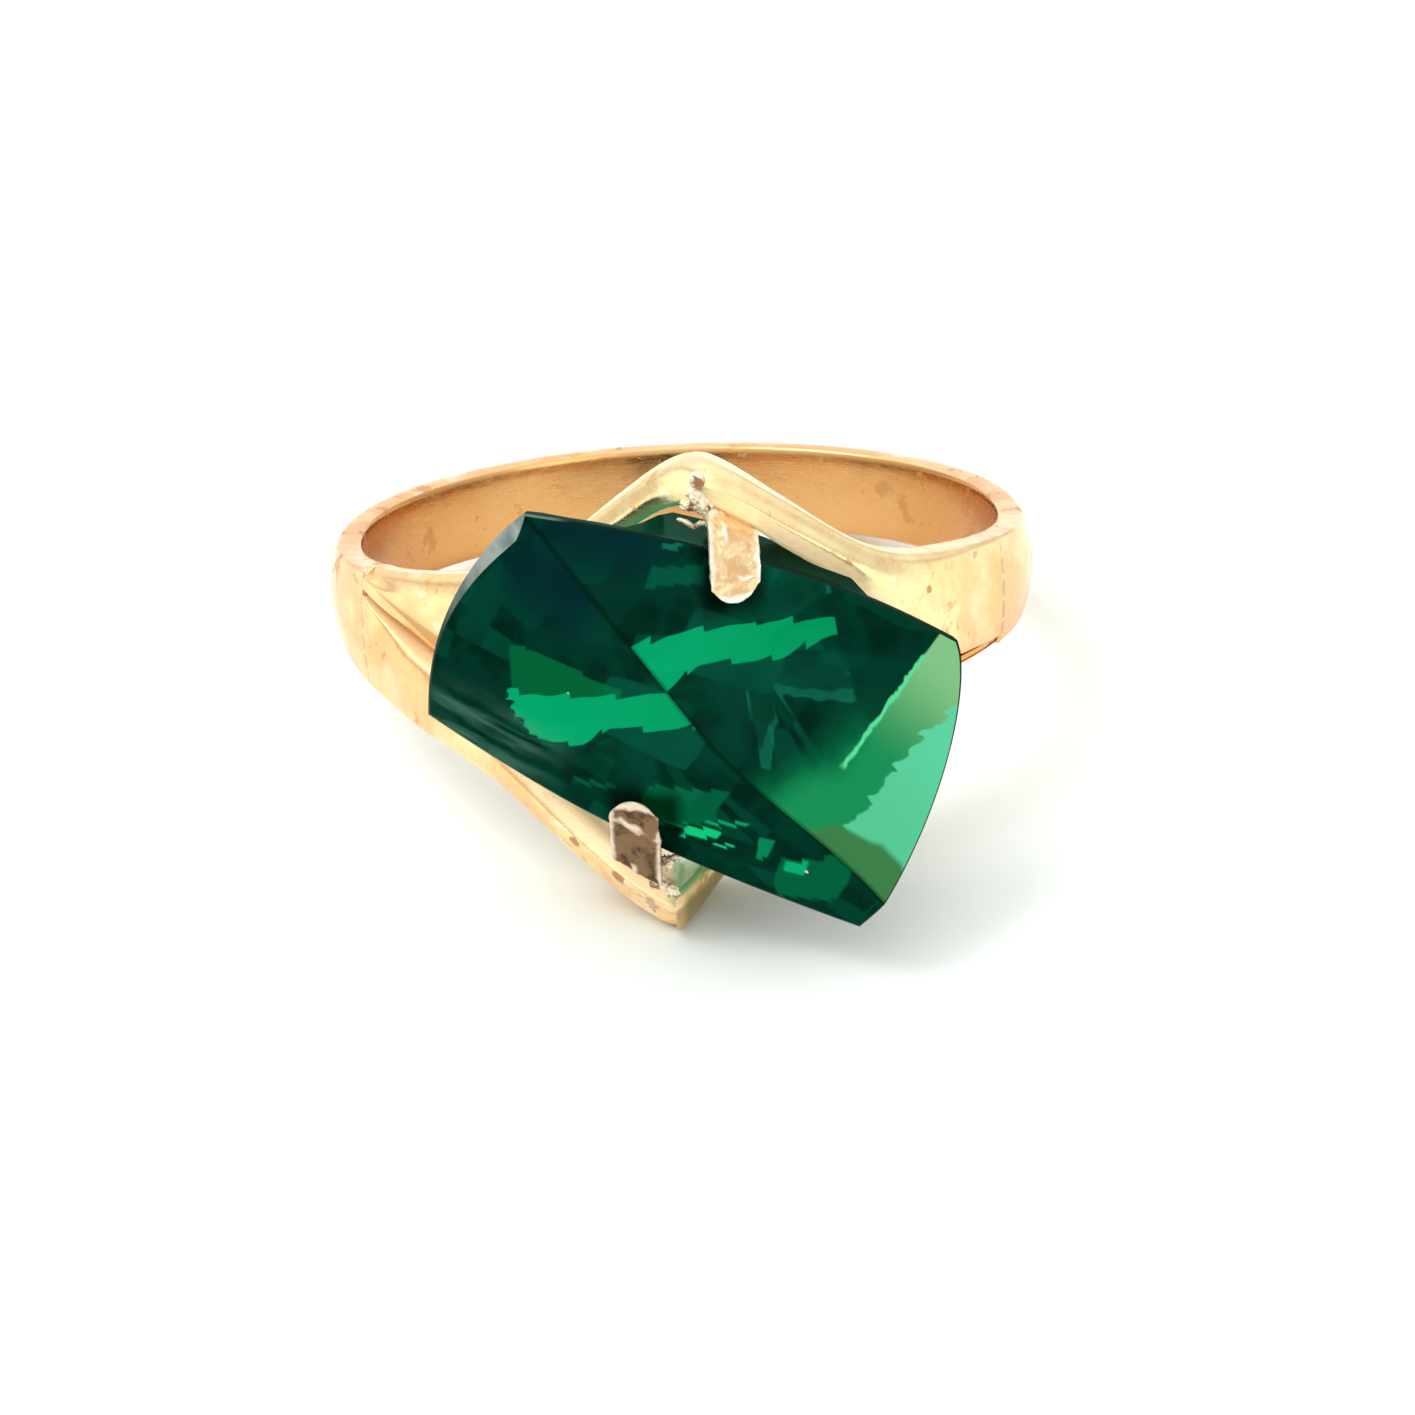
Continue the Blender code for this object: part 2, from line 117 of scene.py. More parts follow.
# Solder runs, from the middle of the CAD's bead: each lump's centre, radii and lumpiness, then the
# path of a loose run
UPPER_LUMPS = (
    ((0.19, -0.60, 1.18), (0.19, 0.13, 0.23), 0.10),
    ((0.14, -0.50, 0.80), (0.20, 0.16, 0.22), 0.45),
    ((0.28, -0.52, 0.54), (0.20, 0.16, 0.22), 0.5),
    ((0.48, -0.54, 0.24), (0.16, 0.18, 0.30), 0.5),
    ((0.56, -0.68, -0.08), (0.12, 0.16, 0.26), 0.5),
    ((0.02, -0.20, 0.48), (0.26, 0.28, 0.13), 0.5),
)
UPPER_RUN = ((-0.34, -0.25, 0.14), (-0.14, -0.30, 0.08), (0.06, -0.35, -0.06), (0.24, -0.42, 0.06),
             (0.52, -0.50, 0.10))
LOWER_LUMPS = (
    ((-0.62, -0.58, -0.28), (0.28, 0.14, 0.17), 0.30),
    ((-0.80, -0.50, -0.04), (0.20, 0.15, 0.15), 0.5),
    ((-0.34, -0.56, -0.50), (0.18, 0.13, 0.17), 0.4),
    ((-0.44, -0.42, 0.20), (0.17, 0.18, 0.16), 0.5),
    ((-0.67, -0.20, 0.06), (0.26, 0.30, 0.16), 0.5),
)
LOWER_RUN = ((-0.44, -0.40, 0.22), (-0.24, -0.36, 0.32), (-0.06, -0.30, 0.30), (0.12, -0.25, 0.26))
WIRE_RADIUS = 0.072
WIRE_SIDES = 12
WIRE_STEPS = 8

# Face of the front rails: it flares out from the band's radius towards the apex
FACE_RADIUS = 9.65
FACE_FLARE = 3.25
FACE_FLARE_END = 62.0
FACE_FLARE_POWER = 1.6
# Stains and pits on it: degrees round from the front, height, depth under the face, radius, strength
STAINS = (
    (-9.5, -4.89, 0.0, 0.24, 0.85), (-5.6, -5.53, 0.0, 0.30, 0.9), (-7.0, -5.33, 0.0, 0.16, 0.8),
    (-15.2, -4.10, 0.0, 0.18, 0.8), (-10.1, -4.11, 0.0, 0.14, 0.85), (-11.0, -3.95, 0.0, 0.09, 0.85),
    (1.3, 5.96, 0.0, 0.09, 0.9), (2.1, 5.98, 0.0, 0.08, 0.9), (0.0, 5.74, 0.2, 0.10, 0.85),
    (21.1, 2.53, 0.0, 0.34, 0.7), (23.9, 2.05, 0.0, 0.20, 0.7), (37.6, 1.27, 0.0, 0.13, 0.8),
)
STAIN_LEVEL = 0.585
JOINT_STAIN_LEVEL = 0.64
PIT_LEVEL = 0.70
DENT_DEPTH = 0.02
SCRATCH_DEPTH = 0.0022
PIT_DEPTH = 0.012
SPOT_RAG = 1.8
SPOT_CORE = 0.75
# Distance in front of the hole over which the band's tone gives way to the head's, and height over
# which the head turns lemon, a painted highlight where more light falls from above
HEAD_FROM = (4.5, 9.0)
LEMON_FROM = (-2.5, 2.5)
# Where the rails' inner sides face the stone, the stone's green and cream light is painted on them
# and glows a little: distance in front of the hole, then X
STONE_SIDE_FROM = (8.0, 9.2)
STONE_SIDE_X = (-6.0, 6.5)
# Face of the lower back rail, painted darker olive as shade: below the first height, right of the second
# range of X
BACK_FACE_FALL = (3.2, 3.8)
BACK_FACE_X = (-0.45, -0.20)
# The groove of the left shoulder, with painted light on its side that looks up and painted shade
# above it: its reach in X and Z, and the line along its top in X and Z
GROOVE_X = (-9.6, -5.0)
GROOVE_Z = (-1.3, 0.95)
GROOVE_LINE = (0.72, 4.75)
GROOVE_SHADE_X = (-8.3, -5.4)
GROOVE_SHADE_FLARE = (0.24, 2.0)
GROOVE_SHADE_FROM = (3.5, 4.5)

# Colours of the metal. Pairs are the two tones between which it drifts
BAND_TONES = ((0.93, 0.61, 0.29), (0.86, 0.47, 0.18))
HEAD_TONES = ((0.97, 0.73, 0.37), (0.89, 0.55, 0.24))
JOINT_TONES = ((0.98, 0.66, 0.36), (0.95, 0.58, 0.28))
# Painted shade and reflections inside the bore: deeper gold, darker towards the sides
BORE_SHADE_TONES = ((0.68, 0.38, 0.14), (0.58, 0.28, 0.085))
# Painted highlight on the top of the head
LEMON_HIGHLIGHT = (1.0, 0.86, 0.46)
PEACH = (0.84, 0.46, 0.18)
BROWN = (0.40, 0.20, 0.07)
# Painted shade above the left groove
GROOVE_SHADE_BROWN = (0.44, 0.24, 0.09)
# Painted light on the side of the left groove that looks up
GROOVE_LIGHT_GOLD = (0.98, 0.74, 0.41)
# Painted shade on the face of the lower back rail
SHADE_OLIVE = (0.46, 0.38, 0.15)
# Paler edges: wear, and a painted highlight along them
EDGE_WEAR_AND_HIGHLIGHT = (1.0, 0.93, 0.78)
# Painted light of the stone on the rails' inner sides: green reflection on the back rails, cream highlight
# on the front rails
PAINTED_GREEN_REFLECTION = (0.08, 0.34, 0.13)
PAINTED_CREAM_HIGHLIGHT = (1.0, 0.76, 0.44)
# Prongs: face, hollows, and pale rim, which stands for wear and a painted highlight
BRIGHT_PRONG = ((0.93, 0.69, 0.39), (0.72, 0.46, 0.22), (1.0, 0.95, 0.80))
DARK_PRONG = ((0.21, 0.125, 0.06), (0.09, 0.045, 0.02), (0.78, 0.64, 0.48))
SOLDER_TONES = ((0.34, 0.17, 0.07), (1.0, 0.88, 0.62))

# Stone: outline, crown and pavilion
STONE_TURN = math.radians(24.6)
STONE_CENTRE = (0.13, 0.03)
HALF_LENGTH = 5.78
HALF_WIDTH = 3.42
LONG_BULGE = 0.45
END_BULGE = 0.66
RIGHT_SKEW = 0.78
RIDGE_REACH = 15.2
CORNER_DROP = 4.4
CROWN_CURVE = 1.15
RIDGE_DRIFT = 0.95
GIRDLE = 0.40
GIRDLE_SETBACK = 0.012
STONE_INDEX = 1.75
SIDE_STEPS = 28
CROWN_ROWS = 10
FACET_STEPS = 4
FACET_SHARP = math.radians(9)
PAVILION_BACK = 9.6
PAVILION_RINGS = ((0.985, 0.03), (0.90, 0.34), (0.76, 0.56), (0.58, 0.76), (0.38, 0.91), (0.22, 1.0))
# Under the front rails the long sides drop straight back, before the cut back begins
BELLY = 2.5
BELLY_ENDS = (-3.2, -2.2, 2.4, 3.3)
BACK_MARGIN = 0.3
EDGE_BEVEL = 0.04
EDGE_BEVEL_DROP = 0.05
CORNER_BEVEL = 0.44
CORNER_BEVEL_DROP = 0.38

# Colours of the light inside the stone
DEEP_GREEN = (0.0004, 0.017, 0.010)
CLOUD_GREEN = (0.0008, 0.036, 0.021)
FACET_GREEN = (0.001, 0.068, 0.037)
NAVY = (0.001, 0.022, 0.026)
STREAK_TONES = ((0.0008, 0.40, 0.155), (0.0005, 0.31, 0.105))
ABOVE_STREAK = (0.001, 0.125, 0.038)
WINDOW_GLOW = (0.002, 0.19, 0.065)
WINDOW_GREENS = ((0.010, 0.29, 0.095), (0.24, 0.58, 0.25))
WINDOW_TURQUOISE = ((0.10, 0.60, 0.31), (0.12, 0.68, 0.38))
WINDOW_FOOT = (0.05, 0.22, 0.07)
WINDOW_LINE = (0.11, 0.76, 0.33)

# Long streak: height and rise of its top edge, height of its foot, its two ends
STREAK_TOP = (0.56, 0.06)
STREAK_FOOT = -0.92
STREAK_ENDS = (-4.22, 3.0)
# Window at the right end: U and lean of its edge, U and lean of the turn to turquoise, and the slope,
# U and V of its foot
WINDOW_EDGE = (4.30, 0.32)
WINDOW_TURN = (5.24, 0.36)
WINDOW_FOOT_LINE = (0.43, 4.39, -2.49)
WINDOW_LINE_V = (-1.25, 2.3)
# Shadows of the prongs in the crown: reach in X, then height from which they darken
UPPER_SHADOW = ((0.28, 1.90), (2.15, 2.75))
LOWER_SHADOW = ((-2.25, -0.45), (1.75, 2.35))
HAZE_U = (-5.9, -2.8)
HAZE_V = (-3.75, -2.2)

# Patches of light inside: centre and half size (X and Z), lean, colour
SHARDS = (
    ((0.5, -2.2), (0.95, 0.50), 0.6, (0.001, 0.115, 0.045)),
    ((0.85, -2.95), (0.42, 0.15), 0.8, (0.004, 0.60, 0.20)),
    ((3.2, -4.2), (0.80, 0.60), 0.5, (0.001, 0.12, 0.045)),
    ((3.0, -3.84), (0.24, 0.17), 0.3, (0.003, 0.42, 0.16)),
    ((-1.2, 2.25), (0.75, 0.30), 0.4, (0.001, 0.09, 0.050)),
    ((-1.0, 3.30), (0.26, 0.12), 0.4, (0.004, 0.15, 0.085)),
    ((1.9, 2.45), (0.80, 0.09), 0.2, (0.012, 0.17, 0.110)),
    ((2.6, 2.05), (0.50, 0.04), 0.2, (0.015, 0.16, 0.120)),
    ((1.55, -2.60), (0.52, 0.05), 0.8, (0.003, 0.36, 0.13)),
    ((0.20, -2.75), (0.36, 0.04), 0.8, (0.002, 0.26, 0.10)),
    ((1.30, -3.30), (0.28, 0.04), 0.6, (0.010, 0.55, 0.26)),
    ((-1.7, -1.95), (0.60, 0.07), 0.9, (0.001, 0.10, 0.045)),
    ((2.35, -3.30), (0.16, 0.30), 0.4, (0.002, 0.24, 0.09)),
)

# Camera
CAMERA_DISTANCE = 120.0
CAMERA_RISE = math.radians(16.94)
CAMERA_SWING = math.radians(-0.32)
CAMERA_ROLL = math.radians(-2.58)
CAMERA_SHIFT = (-0.72, 3.90)
SENSOR = 36.0
LENS = 111.0

# Soft lights: name, direction, distance and size in metres, power in watts
LIGHTS = (
    ("key", (-0.55, -0.15, 0.85), 0.30, 0.20, 0.34),
    ("fill", (0.7, -0.7, 0.45), 0.35, 0.20, 0.10),
)

# Floor: the ring rests on its lower apex and on the back of the band
FLOOR_SIDE_M = 0.9
FLOOR_SEAT = 0.02
BAND_BACK = 1.2
FLOOR_TONES = ((0.93, 0.935, 0.93), (0.95, 0.95, 0.945))
FLOOR_SEEN = (0.875, 0.925, 0.885)


def spot(x, y, z):
    """Place in metres of a point given from the centre of the finger hole."""
    return HOLE + Vector((x, y, z)) * MM


class Field:
    """A number that varies over a surface, so that a pattern reads as arithmetic."""

    def __init__(self, tree, socket):
        self.tree = tree
        self.socket = socket

    def math(self, operation, *others):
        node = self.tree.nodes.new("ShaderNodeMath")
        node.operation = operation
        for slot, value in zip(node.inputs, (self, *others)):
            feed(self.tree, slot, value)
        return Field(self.tree, node.outputs[0])

    def __add__(self, other):
        return self.math("ADD", other)

    def __sub__(self, other):
        return self.math("SUBTRACT", other)

    def __mul__(self, other):
        return self.math("MULTIPLY", other)

    def __neg__(self):
        return self.math("MULTIPLY", -1.0)

    def clamp(self):
        return self.math("MAXIMUM", 0.0).math("MINIMUM", 1.0)

    def highest(self, other):
        return self.math("MAXIMUM", other)

    def ramp(self, start, end):
        """0 at start, 1 at end, with soft ends."""
        node = self.tree.nodes.new("ShaderNodeMapRange")
        node.interpolation_type = "SMOOTHSTEP"
        feed(self.tree, node.inputs[0], self)
        feed(self.tree, node.inputs[1], start)
        feed(self.tree, node.inputs[2], end)
        return Field(self.tree, node.outputs[0])

    def saw(self, period):
        """Rises from 0 to 1 over each period."""
        return self.math("DIVIDE", period).math("FRACT")


def feed(tree, slot, value):
    """Wires a Field or socket to an input, or sets the input to a plain value."""
    if isinstance(value, Field):
        tree.links.new(value.socket, slot)
    elif isinstance(value, bpy.types.NodeSocket):
        tree.links.new(value, slot)
    elif isinstance(value, tuple) and len(value) == 3 and slot.type == "RGBA":
        slot.default_value = (*value, 1.0)
    else:
        slot.default_value = value


def blend_colours(tree, share, first, second):
    node = tree.nodes.new("ShaderNodeMix")
    node.data_type = "RGBA"
    for index, value in ((0, share), (6, first), (7, second)):
        feed(tree, node.inputs[index], value)
    return node.outputs[2]


def new_material(name):
    made = bpy.data.materials.new(name)
    made.use_nodes = True
    tree = made.node_tree
    tree.nodes.clear()
    return made, tree


def geometry(tree, output):
    """Position, Normal, Incoming, Backfacing or Pointiness of the surface."""
    return tree.nodes.new("ShaderNodeNewGeometry").outputs[output]


def attribute(tree, name):
    node = tree.nodes.new("ShaderNodeAttribute")
    node.attribute_name = name
    return Field(tree, node.outputs["Fac"])


def vector_math(tree, operation, vector, other):
    node = tree.nodes.new("ShaderNodeVectorMath")
    node.operation = operation
    node.inputs[1].default_value = other
    tree.links.new(vector, node.inputs[0])
    return node


def surface_point(tree):
    """Vector in millimetres from the centre of the finger hole."""
    shift = vector_math(tree, "SUBTRACT", geometry(tree, "Position"), HOLE)
    return stretched(tree, shift.outputs[0], (1 / MM, 1 / MM, 1 / MM))


def axes(tree, vector):
    node = tree.nodes.new("ShaderNodeSeparateXYZ")
    tree.links.new(vector, node.inputs[0])
    return [Field(tree, node.outputs[i]) for i in range(3)]


def stretched(tree, vector, factors):
    return vector_math(tree, "MULTIPLY", vector, factors).outputs[0]


def grain(tree, vector, scale, detail=2.0, roughness=0.5, distortion=0.0):
    """Noise between about 0.25 and 0.75, with this many features to a millimetre."""
    return Field(tree, wired(tree, "TexNoise", Vector=vector, Scale=scale, Detail=detail,
                             Roughness=roughness, Distortion=distortion))


def bump(tree, height, depth, normal=None):
    """Bump of this depth in millimetres."""
    under = {} if normal is None else {"Normal": normal}
    return wired(tree, "Bump", Strength=1.0, Distance=depth * MM, Height=height, **under)


def wired(tree, kind, **inputs):
    """First output of a new node. Its inputs are named with underscores for spaces."""
    node = tree.nodes.new("ShaderNode" + kind)
    for name, value in inputs.items():
        feed(tree, node.inputs[name.replace("_", " ")], value)
    return node.outputs[0]


def mixed(tree, share, first, second):
    """The first shader, which gives way to the second as the share grows."""
    node = tree.nodes.new("ShaderNodeMixShader")
    for slot, value in zip(node.inputs, (share, first, second)):
        feed(tree, slot, value)
    return node.outputs[0]


def finish_surface(tree, surface):
    out = tree.nodes.new("ShaderNodeOutputMaterial")
    tree.links.new(surface, out.inputs["Surface"])


def inside(value, low, high, soft):
    """1 between two bounds, falling off over a soft edge."""
    return value.ramp(low - soft, low + soft) * (-value).ramp(-high - soft, -high + soft)


# Gold ----------------------------------------

def on_front_rail(turn, height, depth):
    """Place under a front rail's face, in millimetres from the hole's centre."""
    reach = FACE_RADIUS + FACE_FLARE * (1 - abs(turn) / FACE_FLARE_END) ** FACE_FLARE_POWER - depth
    angle = math.radians(turn)
    return (reach * math.sin(angle), -reach * math.cos(angle), height)


def near_spot(tree, point, centre, radius, rag):
    """1 within a ragged spot round a place."""
    gap = vector_math(tree, "DISTANCE", point, centre)
    distance = Field(tree, gap.outputs["Value"]) + (rag - 0.5) * radius * SPOT_RAG
    return distance.ramp(radius, radius * SPOT_CORE)


def stone_light_mask(place, lean):
    """1 on the inner sides of the rails, which look down or up at the stone: where its light is painted.
    """
    x, y, z = place
    inward = (-(lean * z.math("SIGN"))).ramp(0.15, 0.60)
    return inward * (-y).ramp(*STONE_SIDE_FROM) * inside(x, *STONE_SIDE_X, 1.0)


def left_groove_light_side(place, lean):
    """1 on the side of the left shoulder's groove that looks up, which is painted paler and matte, as
    light falling on it.
    """
    x, _, z = place
    return lean.ramp(0.35, 0.8) * inside(x, *GROOVE_X, 0.2) * inside(z, *GROOVE_Z, 0.1)


def left_groove_shade(place):
    """1 in a wedge above the groove, which widens towards the stone: painted shade between the rails."""
    x, y, z = place
    slope, level = GROOVE_LINE
    flare, width = GROOVE_SHADE_FLARE
    above = z + x * slope + level
    wedge = above.ramp(0.0, 0.08) * (x * flare + width - above).ramp(-0.06, 0.08)
    return wedge * inside(x, *GROOVE_SHADE_X, 0.2) * (-y).ramp(*GROOVE_SHADE_FROM)


def bore_shade(place, normal):
    """1 on the side that looks at the finger, which is painted a deeper, darker gold as shade and as the
    band's reflections of itself.
    """
    return (-(place[0] * normal[0] + place[1] * normal[1])).ramp(5.0, 8.0)


def gold(name, head_tones, roughness, stain_level, stains=()):
    """Worn polished gold: tones of the head and of the band, stains, pits, scratches, paler edges. Light
    and
    shade are painted in too: a highlight on the head's top and edges, the stone's light on the rails'
    inner sides, light and shade at the left groove, and shade on the lower back rail and in the bore.
    """
    made, tree = new_material(name)
    point = surface_point(tree)
    place = axes(tree, point)
    facing = axes(tree, geometry(tree, "Normal"))

    head = (-place[1]).ramp(*HEAD_FROM)
    # Painted highlight: the head is painted paler, lemon, towards its top
    upper = place[2].ramp(*LEMON_FROM)
    tone = grain(tree, point, 0.42, 3.0, 0.6).ramp(0.42, 0.58)
    patch = grain(tree, point, 0.9, 5.0, 0.66, 0.4).ramp(stain_level, stain_level + 0.07)
    mottle = grain(tree, point, 2.3, 5.0, 0.72).ramp(0.48, 0.66)
    pits = grain(tree, point, 3.4, 3.0, 0.6, 0.6).ramp(PIT_LEVEL, PIT_LEVEL + 0.06)
    rag = grain(tree, point, 2.6, 4.0, 0.65)
    # Edges are painted paler, for wear and for a highlight
    edge = Field(tree, geometry(tree, "Pointiness")).ramp(0.52, 0.58)
    # Painted reflection of the stone's light: green on the back rails, cream on the front rails
    painted_light = stone_light_mask(place, facing[2])
    front_rail = (place[0] * place[2].math("SIGN")).ramp(0.3, 0.9)
    painted_stone_light = blend_colours(tree, front_rail, PAINTED_GREEN_REFLECTION, PAINTED_CREAM_HIGHLIGHT)
    groove = left_groove_light_side(place, facing[2])
    # Painted shade: the face of the lower back rail is darkened to olive
    lower_back_rail = (-place[2]).ramp(*BACK_FACE_FALL) * place[0].ramp(*BACK_FACE_X)
    # The painted bore shade darkens towards the sides
    sides = place[0].math("ABSOLUTE").ramp(4.0, 8.2)

    layers = [(head * upper * 0.55, LEMON_HIGHLIGHT), (patch * 0.5, BROWN), (mottle * 0.34, PEACH),
              (pits * 0.7, BROWN)]
    for turn, height, depth, radius, strength in stains:
        mark = near_spot(tree, point, on_front_rail(turn, height, depth), radius, rag)
        layers.append((mark * strength, BROWN))
    layers += [(edge * 0.35, EDGE_WEAR_AND_HIGHLIGHT), (painted_light * 0.95, painted_stone_light), (groove * 0.9, GROOVE_LIGHT_GOLD),
               (left_groove_shade(place) * 0.8, GROOVE_SHADE_BROWN), (lower_back_rail * 0.75, SHADE_OLIVE),
               (bore_shade(place, facing) * 0.92, blend_colours(tree, sides, *BORE_SHADE_TONES))]
    colour = blend_colours(tree, head, blend_colours(tree, tone, *BAND_TONES),
                           blend_colours(tree, tone, *head_tones))
    for share, tint in layers:
        colour = blend_colours(tree, share, colour, tint)

    scratch = grain(tree, stretched(tree, point, (1.0, 1.0, 9.0)), 2.2, 4.0, 0.7)
    cross = grain(tree, stretched(tree, point, (7.0, 7.0, 0.8)), 1.7, 4.0, 0.7)
    normal = bump(tree, grain(tree, point, 0.8, 2.0, 0.5), DENT_DEPTH)
    normal = bump(tree, scratch + cross, SCRATCH_DEPTH, normal)
    normal = bump(tree, -(pits * 0.7 + patch * 0.3), PIT_DEPTH, normal)
    # Where light is painted, on the rails' inner sides and the groove's upward side, the metal turns
    # matte, and the painted stone light glows a little
    finish_surface(tree, wired(
        tree, "BsdfPrincipled", Base_Color=colour, Metallic=-(painted_light.highest(groove) * 0.90) + 1.0,
        Roughness=scratch.ramp(0.3, 0.7) * 0.10 + patch * 0.22 + pits * 0.25 + roughness,
        Emission_Color=painted_stone_light, Emission_Strength=painted_light * 0.42, Normal=normal))
    return made


def prong_gold(name, face, hollow, rim):
    """Crumpled tab: hollows browner than its face, and pale along its edges and folds, for wear and a
    painted highlight.
    """
    made, tree = new_material(name)
    point = surface_point(tree)
    mottle = grain(tree, point, 1.7, 4.0, 0.6, 0.4)
    pale = (attribute(tree, "wear_and_highlight") + (mottle - 0.5) * 1.5).ramp(0.20, 0.85)
    colour = blend_colours(tree, mottle.ramp(0.44, 0.58), face, hollow)
    finish_surface(tree, wired(
        tree, "BsdfPrincipled", Base_Color=blend_colours(tree, pale, colour, rim), Metallic=0.75,
        Roughness=mottle.ramp(0.35, 0.65) * 0.2 + 0.25, Normal=bump(tree, mottle, 0.05)))
    return made


def solder_metal(name):
    """Rough cast solder: cream on the humps, brown in the hollows."""
    made, tree = new_material(name)
    lumps = grain(tree, surface_point(tree), 3.0, 5.0, 0.65, 0.5)
    finish_surface(tree, wired(
        tree, "BsdfPrincipled", Metallic=0.35, Normal=bump(tree, lumps, 0.08),
        Base_Color=blend_colours(tree, lumps.ramp(0.40, 0.52), *SOLDER_TONES),
        Roughness=-(lumps.ramp(0.35, 0.65) * 0.25) + 0.5))
    return made


def add_object(name, data):
    made = bpy.data.objects.new(name, data)
    bpy.context.scene.collection.objects.link(made)
    return made


def add_piece(name, mesh, node, materials):
    """Puts a mesh in the scene as the visible form of a CAD node."""
    piece = add_object(name, mesh)
    for item in materials:
        mesh.materials.append(item)
    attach(piece, "root")
    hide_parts(node)
    return piece


def bar_tangent(place):
    """Direction of travel round the finger hole at a place."""
    offset = place - HOLE
    return Vector((-offset.y, offset.x, 0)).normalized()


def cad_quads(node):
    """The CAD solid as a welded mesh of quads, each end of the bar one face."""
    work = bmesh.new()
    work.from_mesh(frame["nodes"][node].data)
    bmesh.ops.remove_doubles(work, verts=work.verts, dist=WELD)
    work.normal_update()
    caps = [f for f in work.faces
            if abs(f.normal.dot(bar_tangent(f.calc_center_median()))) > CAP_FACING]
    rest = [f for f in work.faces if f not in set(caps)]
    bmesh.ops.join_triangles(work, faces=rest, angle_face_threshold=QUAD_ANGLE,
                             angle_shape_threshold=math.pi)
    caps = [f for f in caps if f.is_valid]
    bmesh.ops.dissolve_faces(work, faces=caps, use_verts=False)
    return work


def close_joints(work):
    """Lengthens a rail at both ends, so that its soldered joints close up."""
    ends = [f for f in work.faces if len(f.verts) > END_SIDES]
    for face in ends:
        middle = face.calc_center_median() - HOLE
        turned_by = math.degrees(math.atan2(abs(middle.x), abs(middle.y)))
        reach = SHOULDER_REACH if turned_by > FLUSH_FROM else APEX_REACH
        tangent = bar_tangent(face.calc_center_median())
        outward = tangent if face.normal.dot(tangent) > 0 else -tangent
        for point in face.verts:
            point.co += outward * reach * MM


def hold_ends(work):
    """Creases the edges of the end faces, so that smoothing keeps them."""
    crease = work.edges.layers.float.new("crease_edge")
    for face in work.faces:
        if len(face.verts) > END_SIDES:
            for edge in face.edges:
                edge[crease] = 1.0


def finished_mesh(work, name):
    mesh = bpy.data.meshes.new(name)
    work.to_mesh(mesh)
    work.free()
    mesh.shade_smooth()
    return mesh


def subdivided(work, name, levels):
    """Smooth subdivided copy of a working mesh."""
    rough = finished_mesh(work, name + "_rough")
    carrier = add_object(name + "_carrier", rough)
    modifier = carrier.modifiers.new("smooth", "SUBSURF")
    modifier.levels = levels
    modifier.render_levels = levels
    bpy.context.view_layer.update()
    seen = carrier.evaluated_get(bpy.context.evaluated_depsgraph_get())
    mesh = bpy.data.meshes.new_from_object(seen)
    mesh.name = name
    mesh.materials.clear()
    bpy.data.objects.remove(carrier, do_unlink=True)
    return mesh


def hand_worked(mesh):
    """Slight waves of a hand-filed and polished surface."""
    offset = Vector((7.1, 3.3, 5.7)) * BAR_SEED
    moves = []
    for vertex in mesh.vertices:
        place = (vertex.co - HOLE) / MM
        slow = noise.noise(place * HAND_WAVE_SCALE + offset)
        fast = noise.noise(place * FILE_WAVE_SCALE + offset)
        moves.append(vertex.normal * (slow * HAND_WAVE + fast * FILE_WAVE) * MM)
    for vertex, move in zip(mesh.vertices, moves):
        vertex.co += move
    mesh.shade_smooth()
    mesh.set_sharp_from_angle(angle=SHARP)


def shape_apex(work, node):
    """Files a back rail's face forward at its apex, and deepens both bars of the lower apex."""
    apex = APEX_ANGLE if node.startswith("upper") else -APEX_ANGLE
    back = "back" in node
    for point in work.verts:
        offset = (point.co - HOLE) / MM
        radius = math.hypot(offset.x, offset.y)
        turn = math.degrees(math.atan2(offset.x, -offset.y))
        away = abs(turn - apex)
        middle, fall = BACK_MIDDLE if back else FRONT_MIDDLE
        if radius > middle - fall * away:
            move = MEET_PUSH * max(0.0, 1 - away / MEET_SPAN) ** 2 if back else 0.0
        else:
            move = -DEEP_PULL * max(0.0, 1 - away / DEEP_SPAN) ** 2 if node.startswith("lower") else 0.0
        if abs(turn) > FLUSH_FROM and radius > FLUSH_BEYOND:
            low, high = LEFT_EDGES if offset.x < 0 else RIGHT_EDGES
            share = (offset.z - low - SHOULDER_CORNER) / (high - low - 2 * SHOULDER_CORNER)
            if FLUSH_EDGE < share < 1 - FLUSH_EDGE:
                flush = SHOULDER_RIM + SHOULDER_DOME * (1 - (2 * share - 1) ** 2)
                move += (flush - radius) * min(1.0, (abs(turn) - FLUSH_FROM) / FLUSH_SPAN)
        outward = Vector((offset.x, offset.y, 0)).normalized()
        point.co += outward * move * MM


def make_bar(node, finish, ends=None):
    """Gold bar of the CAD solid's shape, softened and hand worked. Only the band's ends show."""
    work = cad_quads(node)
    if ends is None:
        close_joints(work)
        shape_apex(work, node)
    hold_ends(work)
    for face in work.faces:
        face.material_index = 1 if len(face.verts) > END_SIDES and ends is not None else 0
    mesh = subdivided(work, node + "_metal", SMOOTH_LEVELS)
    hand_worked(mesh)
    return add_piece(node + "_metal", mesh, node, [finish] if ends is None else [finish, ends])


def on_line(place, line):
    """1 on a line, given as its middle and width, and less to both sides."""
    middle, width = line
    return math.exp(-((place - middle) / width) ** 2)


